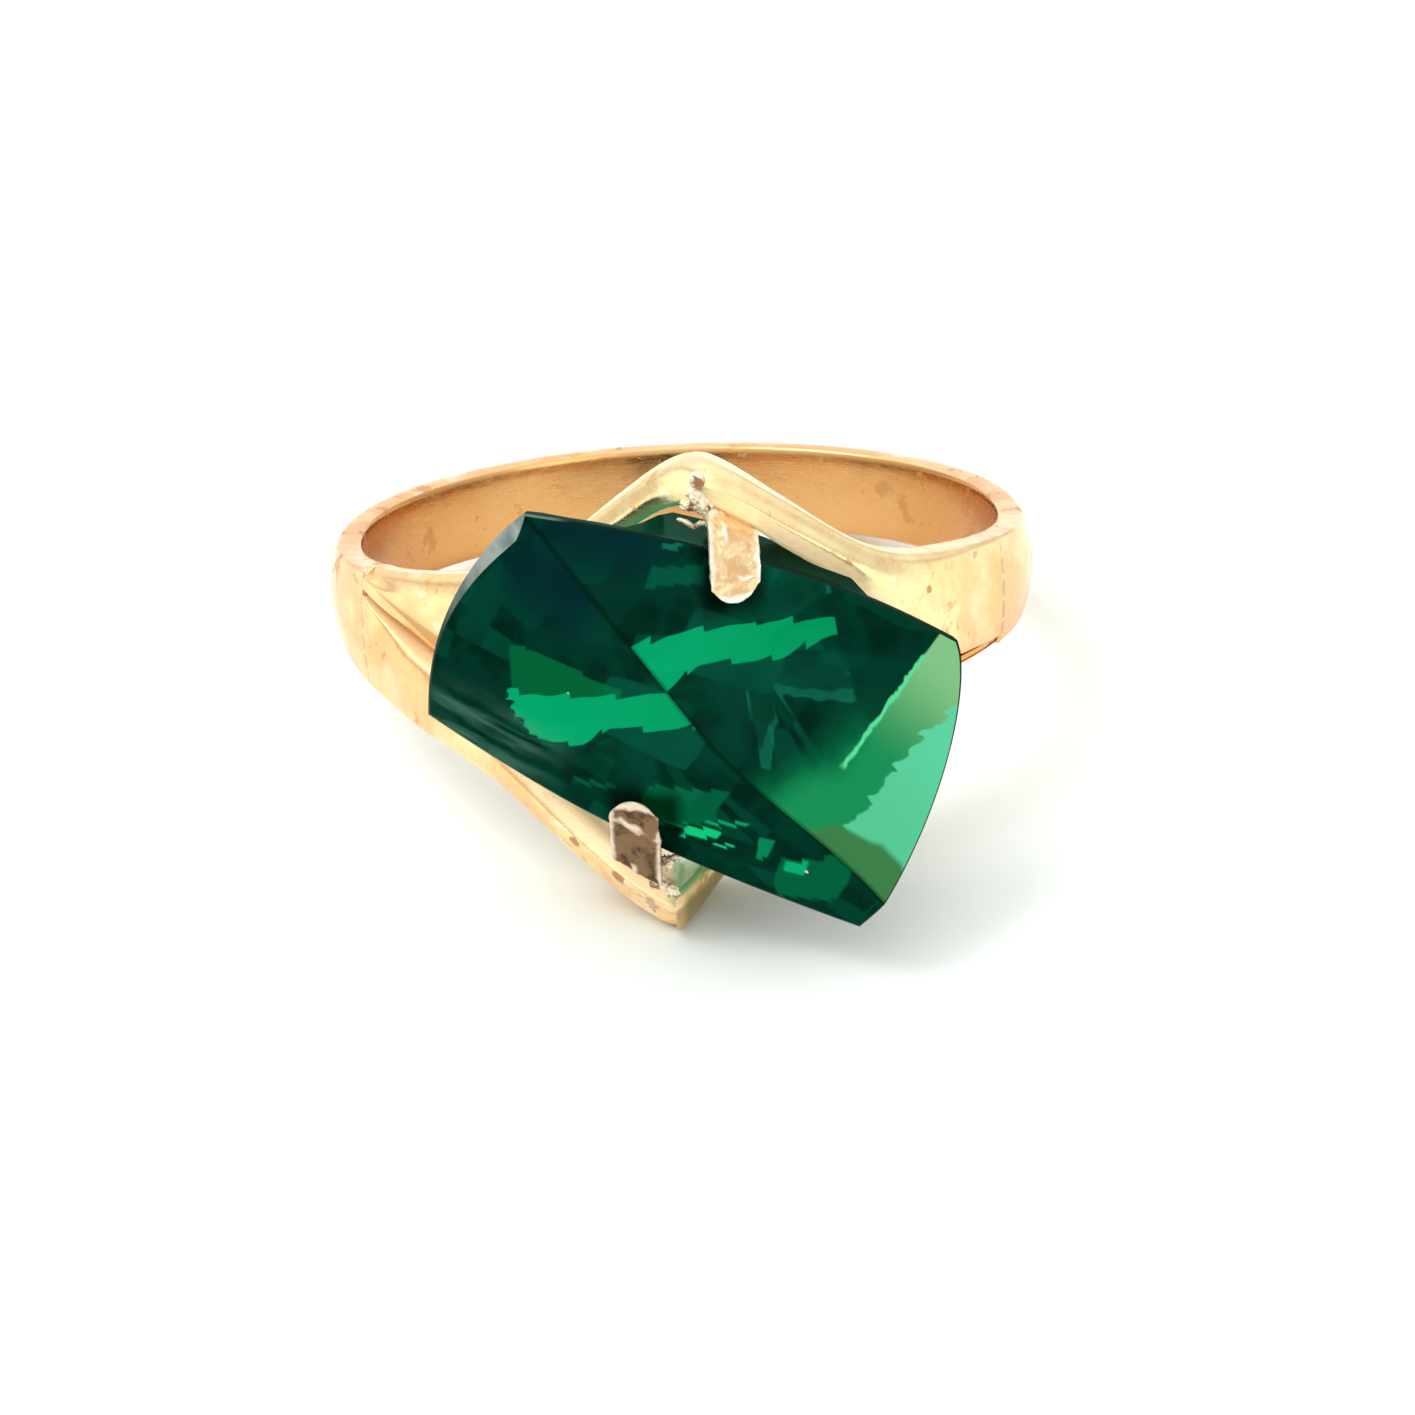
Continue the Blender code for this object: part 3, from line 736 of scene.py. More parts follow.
def prong_wear_and_highlight(upper, across, along, wobble, broken):
    """How pale a place on a tab is painted, for wear and highlight: at its border, and on the ridge and
    fold of its face.
    """
    least = UPPER_RIM_LEAST if upper else LOWER_RIM_LEAST
    side = min(across, 1 - across) + wobble * 0.6
    rim = max(0.0, 1 - side / RIM_WIDTH) * (least + (1 - least) * broken)
    tip = max(0.0, 1 - abs(along - TIP_LINE[0]) / TIP_LINE[1])
    if upper:
        ridge = on_line(across + wobble, UPPER_RIDGE) * (along > UPPER_RIDGE_FROM) * broken
        fold = on_line(along + wobble, UPPER_FOLD) * 0.75 * broken
    else:
        ridge = on_line(along + wobble - LOWER_RIDGE_SLOPE * across, LOWER_RIDGE) * broken
        fold = on_line(across + wobble, LOWER_FOLD) * (along > LOWER_FOLD_FROM) * 0.7
    return max(rim, tip), max(ridge, fold)


def make_prong(node, finish, seed):
    """Bent tab with round edges, painted paler for wear and highlight, and a crumpled, filed face."""
    work = bmesh.new()
    work.from_mesh(frame["nodes"][node].data)
    bmesh.ops.remove_doubles(work, verts=work.verts, dist=WELD)
    bmesh.ops.join_triangles(work, faces=work.faces, angle_face_threshold=PRONG_FLAT,
                             angle_shape_threshold=math.pi)
    crease = work.edges.layers.float.new("crease_edge")
    work.normal_update()
    for edge in work.edges:
        if edge.calc_face_angle(0.0) > PRONG_EDGE:
            edge[crease] = PRONG_CREASE
    mesh = subdivided(work, node + "_tab", PRONG_LEVELS)
    offset = Vector((seed * 4.3, seed * 2.9, seed * 6.1))
    facing = 1 if node.startswith("upper") else -1
    places = [(vertex.co - HOLE) / MM for vertex in mesh.vertices]
    low_x, high_x = min(p.x for p in places), max(p.x for p in places)
    tip, root = min(p.z * facing for p in places), max(p.z * facing for p in places)
    # Paler rim, ridge and fold: wear and a painted highlight
    wear_and_highlight = mesh.attributes.new("wear_and_highlight", "FLOAT", "POINT")
    moves = []
    for index, (vertex, place) in enumerate(zip(mesh.vertices, places)):
        across = (place.x - low_x) / (high_x - low_x)
        along = (place.z * facing - tip) / (root - tip)
        wobble = WOBBLE * noise.noise(place * 3.1 + offset)
        broken = min(1.0, max(0.0, 0.55 + 1.3 * noise.noise(place * 1.9 - offset)))
        border, crumple = prong_wear_and_highlight(facing > 0, across, along, wobble, broken)
        wear_and_highlight.data[index].value = min(1.0, max(border, crumple))
        rough = noise.fractal((place + offset) * ROUGH_SCALE, 0.8, 2.0, 3)
        lift = RIM_HEIGHT * border + RIDGE_HEIGHT * crumple + ROUGH_HEIGHT * rough
        round_off = TIP_ROUND * abs(2 * across - 1) ** 2.5 * max(0.0, 1 - along / TIP_ROUND_SHARE)
        moves.append((vertex.normal * lift + Vector((0, 0, facing * round_off))) * MM)
    for vertex, move in zip(mesh.vertices, moves):
        vertex.co += move
    mesh.shade_smooth()
    return add_piece(node + "_tab", mesh, node, [finish])


def add_lump(work, centre, radii, seed, lumpiness):
    """Lump of solder: a ball pulled out of round by noise."""
    made = bmesh.ops.create_icosphere(work, subdivisions=4, radius=1.0)
    offset = Vector((seed * 3.7, seed * 1.9, seed * 5.3))
    for point in made["verts"]:
        ripple = 1 + lumpiness * noise.fractal(point.co * 1.6 + offset, 0.7, 2.0, 4)
        pulled = Vector([c * r for c, r in zip(point.co, radii)]) * ripple
        point.co = spot(*(centre + pulled))


def add_wire(work, points, radius, seed):
    """Short bent run of solder, thick and thin, with rounded ends."""
    middles = []
    for leg in range(len(points) - 1):
        for step in range(WIRE_STEPS + (leg == len(points) - 2)):
            middles.append(points[leg].lerp(points[leg + 1], step / WIRE_STEPS))
    loops = []
    for index, centre in enumerate(middles):
        ahead = middles[min(index + 1, len(middles) - 1)] - middles[max(index - 1, 0)]
        side = ahead.cross(Vector((0, 1, 0))).normalized()
        lift = ahead.cross(side).normalized()
        from_end = min(index, len(middles) - 1 - index)
        thick = radius * min(1.0, 0.45 + 0.25 * from_end)
        thick *= 1 + 0.35 * noise.noise(centre * 6 + Vector((seed, 0, 0)))
        turns = (math.tau * k / WIRE_SIDES for k in range(WIRE_SIDES))
        loops.append([work.verts.new(spot(*(centre + (side * math.cos(a) + lift * math.sin(a)) * thick)))
                      for a in turns])
    for near, far in zip(loops, loops[1:]):
        for k in range(WIRE_SIDES):
            j = (k + 1) % WIRE_SIDES
            work.faces.new((near[k], near[j], far[j], far[k]))
    work.faces.new(loops[0])
    work.faces.new(loops[-1])


def make_solder(node, lumps, run, finish, seed):
    """Run of solder in and round the inner corner of an apex."""
    low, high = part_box(node)
    middle = ((low + high) / 2 - HOLE) / MM
    work = bmesh.new()
    for index, (offset, radii, lumpiness) in enumerate(lumps):
        add_lump(work, middle + Vector(offset), radii, seed + index, lumpiness)
    add_wire(work, [middle + Vector(offset) for offset in run], WIRE_RADIUS, seed)
    bmesh.ops.recalc_face_normals(work, faces=work.faces)
    mesh = finished_mesh(work, node + "_run")
    return add_piece(node + "_run", mesh, node, [finish])


# Stone ----------------------------------------

def stone_point(u, v, reach):
    """Place in metres of a point along and across the stone that stands out by reach."""
    x = STONE_CENTRE[0] + u * math.cos(STONE_TURN) + v * math.sin(STONE_TURN)
    z = STONE_CENTRE[1] - u * math.sin(STONE_TURN) + v * math.cos(STONE_TURN)
    return spot(x, -reach, z)


def ridge_axes(u, v):
    """Distances along and across the diagonal between the two high corners, of numbers or Fields."""
    share = 1 / math.hypot(HALF_LENGTH, HALF_WIDTH)
    return (u * HALF_LENGTH - v * HALF_WIDTH) * share, (u * HALF_WIDTH + v * HALF_LENGTH) * share


def ridge_drift(along):
    share = min(1.0, max(0.0, along / math.hypot(HALF_LENGTH, HALF_WIDTH)))
    return RIDGE_DRIFT * share**2 * (3 - 2 * share)


def crown_reach(u, v):
    along, across = ridge_axes(u, v)
    corner = ridge_axes(HALF_LENGTH, HALF_WIDTH)[1]
    return RIDGE_REACH - CORNER_DROP * (abs(across - ridge_drift(along)) / corner) ** CROWN_CURVE


def side_point(side, share):
    """U and V of a point on one of the four bowed sides, going round from the upper left corner."""
    a, b = HALF_LENGTH, HALF_WIDTH
    bow = 4 * share * (1 - share)
    if side == "top":
        return (-a + 2 * a * share, b + LONG_BULGE * bow)
    if side == "right":
        early = share**RIGHT_SKEW
        return (a + END_BULGE * 4 * early * (1 - early), b - 2 * b * share)
    if side == "bottom":
        return (a - 2 * a * share, -b - LONG_BULGE * bow)
    return (-a - END_BULGE * bow, -b + 2 * b * share)


def ridge_landing():
    """Share of the right end at which the drifting ridge meets it."""
    low, high = 0.5, 1.0
    for _ in range(40):
        middle = (low + high) / 2
        along, across = ridge_axes(*side_point("right", middle))
        if across > ridge_drift(along):
            low = middle
        else:
            high = middle
    return (low + high) / 2


def ridge_point(share, start, end):
    a, b = HALF_LENGTH, HALF_WIDTH
    diagonal = math.hypot(a, b)
    first, last = ridge_axes(*start)[0], ridge_axes(*end)[0]
    along = first + (last - first) * share
    across = ridge_drift(along)
    return ((along * a + across * b) / diagonal, (across * a - along * b) / diagonal)


def stone_outline():
    """The outline clockwise from the upper left corner, and the place in it where the ridge ends."""
    landing = ridge_landing()
    points = [side_point("top", i / SIDE_STEPS) for i in range(SIDE_STEPS)]
    points += [side_point("right", landing * i / SIDE_STEPS) for i in range(SIDE_STEPS)]
    end = len(points)
    short = FACET_STEPS * 2
    points += [side_point("right", landing + (1 - landing) * i / short) for i in range(short)]
    points += [side_point("bottom", i / SIDE_STEPS) for i in range(SIDE_STEPS)]
    points += [side_point("left", i / SIDE_STEPS) for i in range(SIDE_STEPS)]
    return points, end


def make_stone(crown, back, bevel):
    outline, end = stone_outline()
    count = len(outline)
    work = bmesh.new()
    facet = work.faces.layers.float.new("facet")

    def vertex(u, v, reach):
        return work.verts.new(stone_point(u, v, reach))

    edge = [edge_bevel(index, count) for index in range(count)]
    inner = [inset(outline[index], edge[index][0]) for index in range(count)]
    rim = [vertex(u, v, crown_reach(u, v)) for u, v in inner]

    def crown_half(indices):
        """Sheet from the ridge to one half of the outline."""
        steps = len(indices) - 1
        rows = [[rim[i % count] for i in indices]]
        for row in range(1, CROWN_ROWS + 1):
            line = [rim[indices[0] % count]]
            for step in range(1, steps):
                u0, v0 = inner[indices[step] % count]
                u1, v1 = ridge_point(step / steps, inner[0], inner[end])
                share = row / CROWN_ROWS
                u, v = u0 + (u1 - u0) * share, v0 + (v1 - v0) * share
                line.append(vertex(u, v, crown_reach(u, v)))
            line.append(rim[indices[-1] % count])
            rows.append(line)
        for near, far in zip(rows, rows[1:]):
            for i in range(steps):
                corners = list(dict.fromkeys([near[i], near[i + 1], far[i + 1], far[i]]))
                if len(corners) > 2:
                    work.faces.new(corners)
        return rows[-1]

    upper = crown_half(list(range(end + 1)))
    lower = crown_half(list(range(count, end - 1, -1)))
    join_ridges(work, upper, lower)

    rings = [rim]
    rings.append([vertex(*outline[i], crown_reach(*outline[i]) - edge[i][1]) for i in range(count)])
    setback = 1 - GIRDLE_SETBACK
    rings.append([vertex(u * setback, v * setback, crown_reach(u, v) - GIRDLE - drop)
                  for (u, v), (_, drop) in zip(outline, edge)])
    for scale, depth in PAVILION_RINGS:
        ring = []
        for i in range(count):
            u, v = on_facet(outline, i)
            start = crown_reach(*outline[i]) - GIRDLE - edge[i][1]
            if i != 0 and not on_short_side(i, count):
                start = max(start - belly_depth(*outline[i]), min(start, PAVILION_BACK + BACK_MARGIN))
            ring.append(vertex(u * scale, v * scale, start + (PAVILION_BACK - start) * depth))
        rings.append(ring)
    pavilion = []
    for level, (near, far) in enumerate(zip(rings, rings[1:])):
        for i in range(count):
            j = (i + 1) % count
            face = work.faces.new((near[i], near[j], far[j], far[i]))
            if level == 0:
                face.material_index = 2
            else:
                pavilion.append((face, level * count + i // FACET_STEPS))
    pavilion.append((work.faces.new(rings[-1]), 1))
    bmesh.ops.recalc_face_normals(work, faces=work.faces)
    for face, number in pavilion:
        face.material_index = 1
        face[facet] = (math.sin(number * 12.9898) * 43758.5453) % 1.0
    mesh = finished_mesh(work, "stone_gem")
    mesh.set_sharp_from_angle(angle=FACET_SHARP)
    return add_piece("stone_gem", mesh, "stone", [crown, back, bevel])


def belly_depth(u, v):
    """How far a long side drops straight back, at a point of it."""
    along = math.copysign(1.0, v) * u
    left_end, left, right, right_end = BELLY_ENDS
    rise = min(1.0, max(0.0, (along - left_end) / (left - left_end)))
    fall = min(1.0, max(0.0, (right_end - along) / (right_end - right)))
    return BELLY * rise * fall


def edge_bevel(index, count):
    """Width and drop of the polished bevel at a point of the outline: broad only at the left end's top."""
    share = (index - (count - SIDE_STEPS)) / SIDE_STEPS
    broad = max(0.0, (share - 0.25) / 0.75) ** 1.5 * min(1.0, (1 - share) * 9) if share < 1 else 0.0
    return EDGE_BEVEL + (CORNER_BEVEL - EDGE_BEVEL) * broad, EDGE_BEVEL_DROP + CORNER_BEVEL_DROP * broad


def inset(point, width):
    """Point of the outline moved towards the middle, by its width along each axis of the stone."""
    u, v = point
    return (u - math.copysign(min(width, abs(u)), u) * min(1.0, abs(u) / HALF_LENGTH * 1.02),
            v - math.copysign(EDGE_BEVEL, v) * min(1.0, abs(v) / HALF_WIDTH))


def on_short_side(index, count):
    return 2 * SIDE_STEPS > index >= SIDE_STEPS or index >= count - SIDE_STEPS


def on_facet(outline, index):
    """Point on the chord of the outline's facet, so that the pavilion is cut in flat faces."""
    first = index - index % FACET_STEPS
    last = (first + FACET_STEPS) % len(outline)
    share = (index % FACET_STEPS) / FACET_STEPS
    (u0, v0), (u1, v1) = outline[first], outline[last]
    return u0 + (u1 - u0) * share, v0 + (v1 - v0) * share


def join_ridges(work, upper, lower):
    """Merges the ridge rows of both crown halves, which run along one line in unequal steps."""
    i = j = 0
    while i < len(upper) - 1 or j < len(lower) - 1:
        next_upper = (i + 1) / (len(upper) - 1) if i < len(upper) - 1 else 2.0
        next_lower = (j + 1) / (len(lower) - 1) if j < len(lower) - 1 else 2.0
        if next_upper <= next_lower:
            corners = (upper[i], upper[i + 1], lower[j])
            i += 1
        else:
            corners = (upper[i], lower[j + 1], lower[j])
            j += 1
        if len(set(corners)) == 3:
            work.faces.new(corners)


def stone_axes(tree, point):
    """Fields U and V along and across the stone."""
    x, _, z = axes(tree, point)
    x, z = x - STONE_CENTRE[0], z - STONE_CENTRE[1]
    cosine, sine = math.cos(STONE_TURN), math.sin(STONE_TURN)
    return x, z, x * cosine - z * sine, x * sine + z * cosine


def shard(x, z, centre, half, soft=0.06, lean=0.0):
    """1 inside a small leaning four-sided patch of light."""
    across = x - centre[0] - (z - centre[1]) * lean
    return inside(across, -half[0], half[0], soft) * inside(z - centre[1], -half[1], half[1], soft)


def throw_streak(tree, point, x, z, upper, colour):
    """Painted light of the long bright facet at the bottom of the stone, with a few ragged steps along its
    edges.
    """
    soft = 0.015
    wander = grain(tree, stretched(tree, point, (0.8, 0.0, 0.0)), 1.0, 2.0) * 1.5
    depth = grain(tree, stretched(tree, point, (0.5, 0.0, 0.0)), 1.3, 1.0).ramp(0.3, 0.7) * 0.22 + 0.05
    ragged = grain(tree, stretched(tree, point, (0.0, 0.0, 2.6)), 1.0, 3.0, 0.6)
    top = (x + 1.0) * STREAK_TOP[1] + STREAK_TOP[0] + (x + wander).saw(1.35) * depth
    bottom = (x.ramp(-1.9, -0.9) * 0.62 + x.ramp(1.2, 3.0) * 0.55 + STREAK_FOOT
              + (x + wander + 0.5).saw(1.15) * depth)
    left = (-z).highest(0.0) * 0.7 + ragged * 0.6 + (z + ragged * 0.5).saw(0.47) * 0.26 + STREAK_ENDS[0]
    streak = (top - z).ramp(-soft, soft) * (z - bottom).ramp(-soft, soft)
    streak = streak * (x - left).ramp(-soft, soft) * (-x + STREAK_ENDS[1]).ramp(-soft, soft)
    roof = -(x + 3.0).highest(0.0) * 0.42 - z + 1.78 + x.saw(1.6) * 0.12
    above = inside(x, -3.7, -0.62, 0.05) * (z - top).ramp(-soft, soft) * roof.ramp(-soft, soft)
    colour = blend_colours(tree, above * (-upper + 1.0), colour, ABOVE_STREAK)
    return blend_colours(tree, streak, colour, blend_colours(tree, x.ramp(-3.6, 2.8), *STREAK_TONES))


def throw_window(tree, point, u, v, upper, colour):
    """Painted light of the right end facets, with light from behind: green, turquoise, and olive at the
    foot.
    """
    soft = 0.03
    edge = v * WINDOW_EDGE[1] + WINDOW_EDGE[0] - v.ramp(-1.2, -2.7) * 0.9
    lines = grain(tree, stretched(tree, point, (1.9, 0.0, 0.5)), 1.7, 3.0, 0.6).ramp(0.35, 0.62)
    painted_glow = (u - edge).ramp(-1.3, 0.1) * v.ramp(1.2, -1.4) * (lines * 0.3 + 0.7)
    colour = blend_colours(tree, painted_glow * upper * 0.85, colour, WINDOW_GLOW)

    blocks = grain(tree, stretched(tree, point, (0.6, 0.0, 1.4)), 1.4, 2.0, 0.6)
    step = (v + blocks).saw(0.95) * 0.22 + blocks * 0.3 - 0.15
    turn = v * WINDOW_TURN[1] + WINDOW_TURN[0] + v.ramp(0.0, 1.6) * 0.2 + step
    slope, foot_u, foot_v = WINDOW_FOOT_LINE
    foot = (u - foot_u) * slope + foot_v
    light = blend_colours(tree, v.ramp(-0.6, 2.6), *WINDOW_GREENS)
    turquoise = blend_colours(tree, v.ramp(-2.0, 1.5), *WINDOW_TURQUOISE)
    light = blend_colours(tree, (u - turn).ramp(-soft, soft), light, turquoise)
    light = blend_colours(tree, (foot - v).ramp(-0.12, 0.05), light, WINDOW_FOOT)
    near = v.ramp(0.6, -1.8) * 0.5 + soft
    colour = blend_colours(tree, (u - edge).ramp(-near, near) * upper, colour, light)

    nick = grain(tree, stretched(tree, point, (1.0, 0.0, 1.0)), 3.2, 2.0, 0.6)
    wander = (nick - 0.5) * 0.22 + edge
    line = inside(u - wander, -0.05, 0.06, 0.03) * inside(v, *WINDOW_LINE_V, 0.1)
    return blend_colours(tree, line * upper, colour, WINDOW_LINE)


def gem_inside(name):
    """Cut back of the stone: dark bottle green outside, and inside the light its facets throw, painted and
    glowing.
    """
    made, tree = new_material(name)
    point = surface_point(tree)
    x, z, u, v = stone_axes(tree, point)
    gaze_x, _, gaze_z = axes(tree, geometry(tree, "Incoming"))
    upper = (gaze_x * 0.77 + gaze_z * 0.64).ramp(0.0, 0.03)
    shade = attribute(tree, "facet")
    cloud = grain(tree, point, 0.8, 3.0, 0.6, 0.8)
    colour = blend_colours(tree, cloud.ramp(0.35, 0.65), DEEP_GREEN, CLOUD_GREEN)
    colour = blend_colours(tree, shade.math("POWER", 2.6) * 0.8, colour, FACET_GREEN)
    colour = blend_colours(tree, shard(u, v, (-3.8, 2.4), (1.5, 1.0), 0.9), colour, NAVY)
    jag = z + (x.saw(0.45) - 0.5) * 0.14
    for centre, half, lean, tone in SHARDS:
        face = upper if centre[1] > 0 else -upper + 1.0
        colour = blend_colours(tree, shard(x, jag, centre, half, 0.04, lean) * face, colour, tone)
    colour = throw_streak(tree, point, x, z, upper, colour)
    colour = throw_window(tree, point, u, v, upper, colour)
    # Painted light: seen from inside, the stone's back glows with this colour
    painted_glow = wired(tree, "Emission", Color=colour)
    mirror = wired(tree, "BsdfGlossy", Color=(0.02, 0.55, 0.30), Roughness=0.02)
    body = wired(tree, "BsdfDiffuse",
                 Color=blend_colours(tree, shade, (0.0005, 0.010, 0.006), (0.002, 0.040, 0.023)))
    shine = wired(tree, "BsdfGlossy", Color=(0.30, 0.80, 0.55), Roughness=0.12)
    finish_surface(tree, mixed(tree, geometry(tree, "Backfacing"), mixed(tree, 0.045, body, shine),
                               mixed(tree, 0.03, painted_glow, mirror)))
    return made


def crown_tint(tree, x, z, u, v):
    """Colour of what is seen through the crown: painted shadow round the prongs, and a painted dark line
    along the ridge.
    """
    shadow = inside(x, *UPPER_SHADOW[0], 0.25) * z.ramp(*UPPER_SHADOW[1])
    shadow = shadow.highest(inside(x, *LOWER_SHADOW[0], 0.25) * (-z).ramp(*LOWER_SHADOW[1]))
    tint = blend_colours(tree, shadow, (0.98, 1.0, 0.99), (0.10, 0.20, 0.16))
    diagonal = math.hypot(HALF_LENGTH, HALF_WIDTH)
    along, across = ridge_axes(u, v)
    share = (along * (1 / diagonal)).clamp()
    drift = share * share * (-(share * 2.0) + 3.0) * RIDGE_DRIFT
    ridge = (across - drift).math("ABSOLUTE").ramp(0.10, 0.02)
    return blend_colours(tree, ridge * 0.6, tint, (0.12, 0.30, 0.16))


def crown_haze(tree, u, v):
    """Faint streaks of wear along the lower edge at the left corner."""
    edgewise = wired(tree, "CombineXYZ", X=u * 0.22, Y=v * 1.5)
    streak = grain(tree, edgewise, 1.6, 3.0, 0.6).ramp(0.36, 0.70)
    return inside(u, *HAZE_U, 1.1) * inside(v, *HAZE_V, 0.6) * streak * 0.5


def gem_crown(name):
    """Polished crown: looks into the stone, and mirrors the room where seen at a low angle."""
    made, tree = new_material(name)
    point = surface_point(tree)
    x, z, u, v = stone_axes(tree, point)
    normal = bump(tree, grain(tree, point, 1.4, 2.0, 0.5), 0.002)
    look_in = wired(tree, "BsdfRefraction", Color=crown_tint(tree, x, z, u, v), IOR=STONE_INDEX,
                    Roughness=0.0, Normal=normal)
    gloss = wired(tree, "BsdfGlossy", Color=(0.9, 1.0, 0.97), Roughness=0.03, Normal=normal)
    facing = tree.nodes.new("ShaderNodeLayerWeight")
    facing.inputs["Blend"].default_value = 0.5
    outside = -Field(tree, geometry(tree, "Backfacing")) + 1.0
    low_angle = Field(tree, facing.outputs["Facing"]).ramp(0.40, 1.0)
    polished = mixed(tree, (low_angle.math("POWER", 2.0) * 0.6 + 0.001) * outside, look_in, gloss)
    dust = Field(tree, wired(tree, "TexVoronoi", Scale=0.5, Vector=point)).ramp(0.034, 0.020)
    dull = wired(tree, "BsdfDiffuse",
                 Color=blend_colours(tree, dust, (0.09, 0.27, 0.18), (0.75, 0.85, 0.78)))
    finish_surface(tree, mixed(tree, crown_haze(tree, u, v).highest(dust * 0.7) * outside, polished, dull))
    return made


def gem_bevel(name):
    """Polished edge of the stone, painted pale as a reflection of the room at the upper left."""
    made, tree = new_material(name)
    point = surface_point(tree)
    tone = grain(tree, point, 1.2, 3.0, 0.5).ramp(0.35, 0.65)
    _, _, u, v = stone_axes(tree, point)
    # Painted reflection: where the edge would mirror the room it is painted pale and made shinier
    painted_light = (-u).ramp(4.6, 5.4) * v.ramp(-1.2, 2.6)
    pale = blend_colours(tree, tone, (0.06, 0.12, 0.10), (0.22, 0.27, 0.24))
    finish_surface(tree, wired(
        tree, "BsdfPrincipled", Base_Color=blend_colours(tree, painted_light, (0.001, 0.012, 0.008), pale),
        Roughness=0.2, Specular_IOR_Level=painted_light * 0.6 + 0.05,
        Normal=bump(tree, grain(tree, point, 5.0, 3.0), 0.004)))
    return made


# Stage ----------------------------------------

def make_floor():
    """Pale floor under the two places that the ring rests on."""
    _, band_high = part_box("shank")
    front = lowest_point("lower_front_rail")
    back = lowest_point("shank", band_high.y - BAND_BACK * MM)
    slope = math.atan2(back.z - front.z, back.y - front.y)
    mesh = bpy.data.meshes.new("floor")
    half = FLOOR_SIDE_M / 2
    mesh.from_pydata([(-half, -half, 0), (half, -half, 0), (half, half, 0), (-half, half, 0)], [],
                     [(0, 1, 2, 3)])
    floor = add_object("floor", mesh)
    floor.matrix_world = (Matrix.Translation(front - Vector((0, 0, FLOOR_SEAT * MM)))
                          @ Matrix.Rotation(slope, 4, "X"))
    made, tree = new_material("floor_card")
    speck = grain(tree, surface_point(tree), 0.2, 3.0, 0.5).ramp(0.3, 0.7)
    path = tree.nodes.new("ShaderNodeLightPath")
    colour = blend_colours(tree, path.outputs["Is Camera Ray"],
                           blend_colours(tree, speck, *FLOOR_TONES), FLOOR_SEEN)
    card = wired(tree, "BsdfDiffuse", Color=colour)
    clear = wired(tree, "BsdfTransparent")
    finish_surface(tree, mixed(tree, geometry(tree, "Backfacing"), card, clear))
    mesh.materials.append(made)


def lowest_point(node, beyond=None):
    """Lowest vertex of a CAD node, among those further back than a limit."""
    points = [v.co for v in frame["nodes"][node].data.vertices if beyond is None or v.co.y > beyond]
    return min(points, key=lambda p: p.z).copy()


def make_world():
    """White room: bright overhead, greyer to the sides, with a few darker stretches for the metal."""
    world = bpy.data.worlds.new("white_room")
    bpy.context.scene.world = world
    world.use_nodes = True
    tree = world.node_tree
    tree.nodes.clear()
    source = tree.nodes.new("ShaderNodeTexCoord")
    x, _, z = axes(tree, source.outputs["Generated"])
    level = z.ramp(-0.2, 0.8) * 0.45 + 0.82
    dark_side = inside(x, 0.35, 0.62, 0.12) * inside(z, -0.2, 0.35, 0.15) * 0.35
    dark_front = inside(z, 0.05, 0.25, 0.08) * 0.25
    level = level - dark_side - dark_front
    path = tree.nodes.new("ShaderNodeLightPath")
    seen = Field(tree, path.outputs["Is Camera Ray"])
    level = level * (-seen + 1.0) + seen
    background = wired(tree, "Background", Color=(1.0, 1.0, 1.0), Strength=level)
    out = tree.nodes.new("ShaderNodeOutputWorld")
    tree.links.new(background, out.inputs["Surface"])


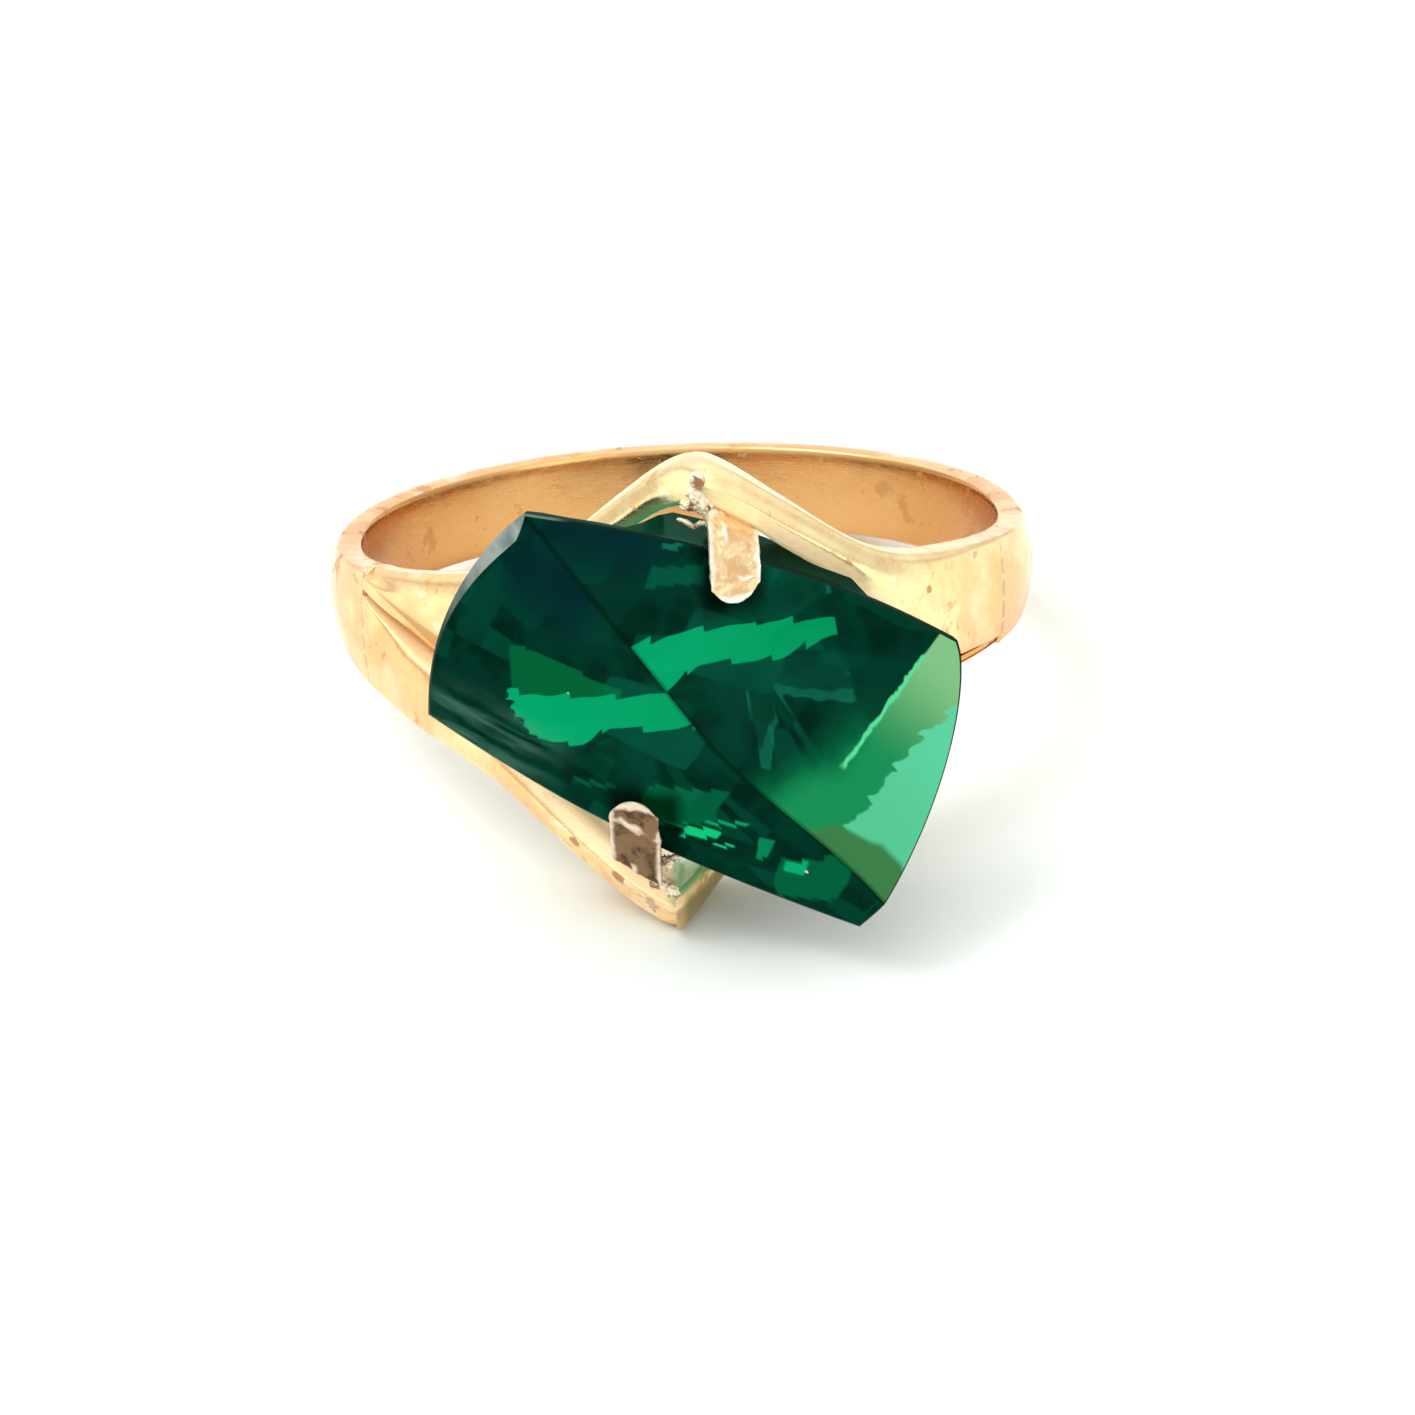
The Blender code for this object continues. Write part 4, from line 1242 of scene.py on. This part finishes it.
def softbox(name, direction, distance, size, power):
    """Round white light that looks at the ring."""
    light = bpy.data.lights.new(name, "AREA")
    light.shape = "DISK"
    light.size = size
    light.energy = power
    lamp = add_object(name, light)
    heading = Vector(direction).normalized()
    lamp.location = HOLE + heading * distance
    lamp.rotation_mode = "QUATERNION"
    lamp.rotation_quaternion = heading.to_track_quat("Z", "Y")


def make_camera():
    back = Vector((math.sin(CAMERA_SWING) * math.cos(CAMERA_RISE),
                   -math.cos(CAMERA_SWING) * math.cos(CAMERA_RISE), math.sin(CAMERA_RISE)))
    right = Vector((math.cos(CAMERA_SWING), math.sin(CAMERA_SWING), 0))
    up = back.cross(right)
    side = right * math.cos(CAMERA_ROLL) + up * math.sin(CAMERA_ROLL)
    rise = up * math.cos(CAMERA_ROLL) - right * math.sin(CAMERA_ROLL)
    place = back * CAMERA_DISTANCE - side * CAMERA_SHIFT[0] - rise * CAMERA_SHIFT[1]
    data = bpy.data.cameras.new("camera")
    data.sensor_width = SENSOR
    data.lens = LENS
    data.clip_start = 0.01
    camera = add_object("camera", data)
    turn = Matrix((side, rise, back)).transposed().to_4x4()
    camera.matrix_world = Matrix.Translation(spot(*place)) @ turn
    bpy.context.scene.camera = camera


def main():
    # The rails' gold carries real wear, and also painted light and shade
    wear_and_highlight = gold("gold_worn_and_painted_light", HEAD_TONES, 0.19, STAIN_LEVEL, STAINS)
    joint = gold("gold_joint", JOINT_TONES, 0.5, JOINT_STAIN_LEVEL)
    solder = solder_metal("solder_rough")
    make_bar("shank", wear_and_highlight, joint)
    for rail in ("upper_front_rail", "lower_front_rail", "upper_back_rail", "lower_back_rail"):
        make_bar(rail, wear_and_highlight)
    make_prong("upper_prong", prong_gold("prong_gold_wear_and_highlight", *BRIGHT_PRONG), 1)
    # The lower prong's tones are darker all over
    make_prong("lower_prong", prong_gold("prong_gold_dark", *DARK_PRONG), 2)
    make_solder("upper_apex_solder", UPPER_LUMPS, UPPER_RUN, solder, 1)
    make_solder("lower_apex_solder", LOWER_LUMPS, LOWER_RUN, solder, 7)
    make_stone(gem_crown("stone_crown"), gem_inside("stone_back"), gem_bevel("stone_edge"))
    make_world()
    make_floor()
    for light in LIGHTS:
        softbox(*light)
    make_camera()
    bpy.context.scene.view_settings.view_transform = "Standard"


main()
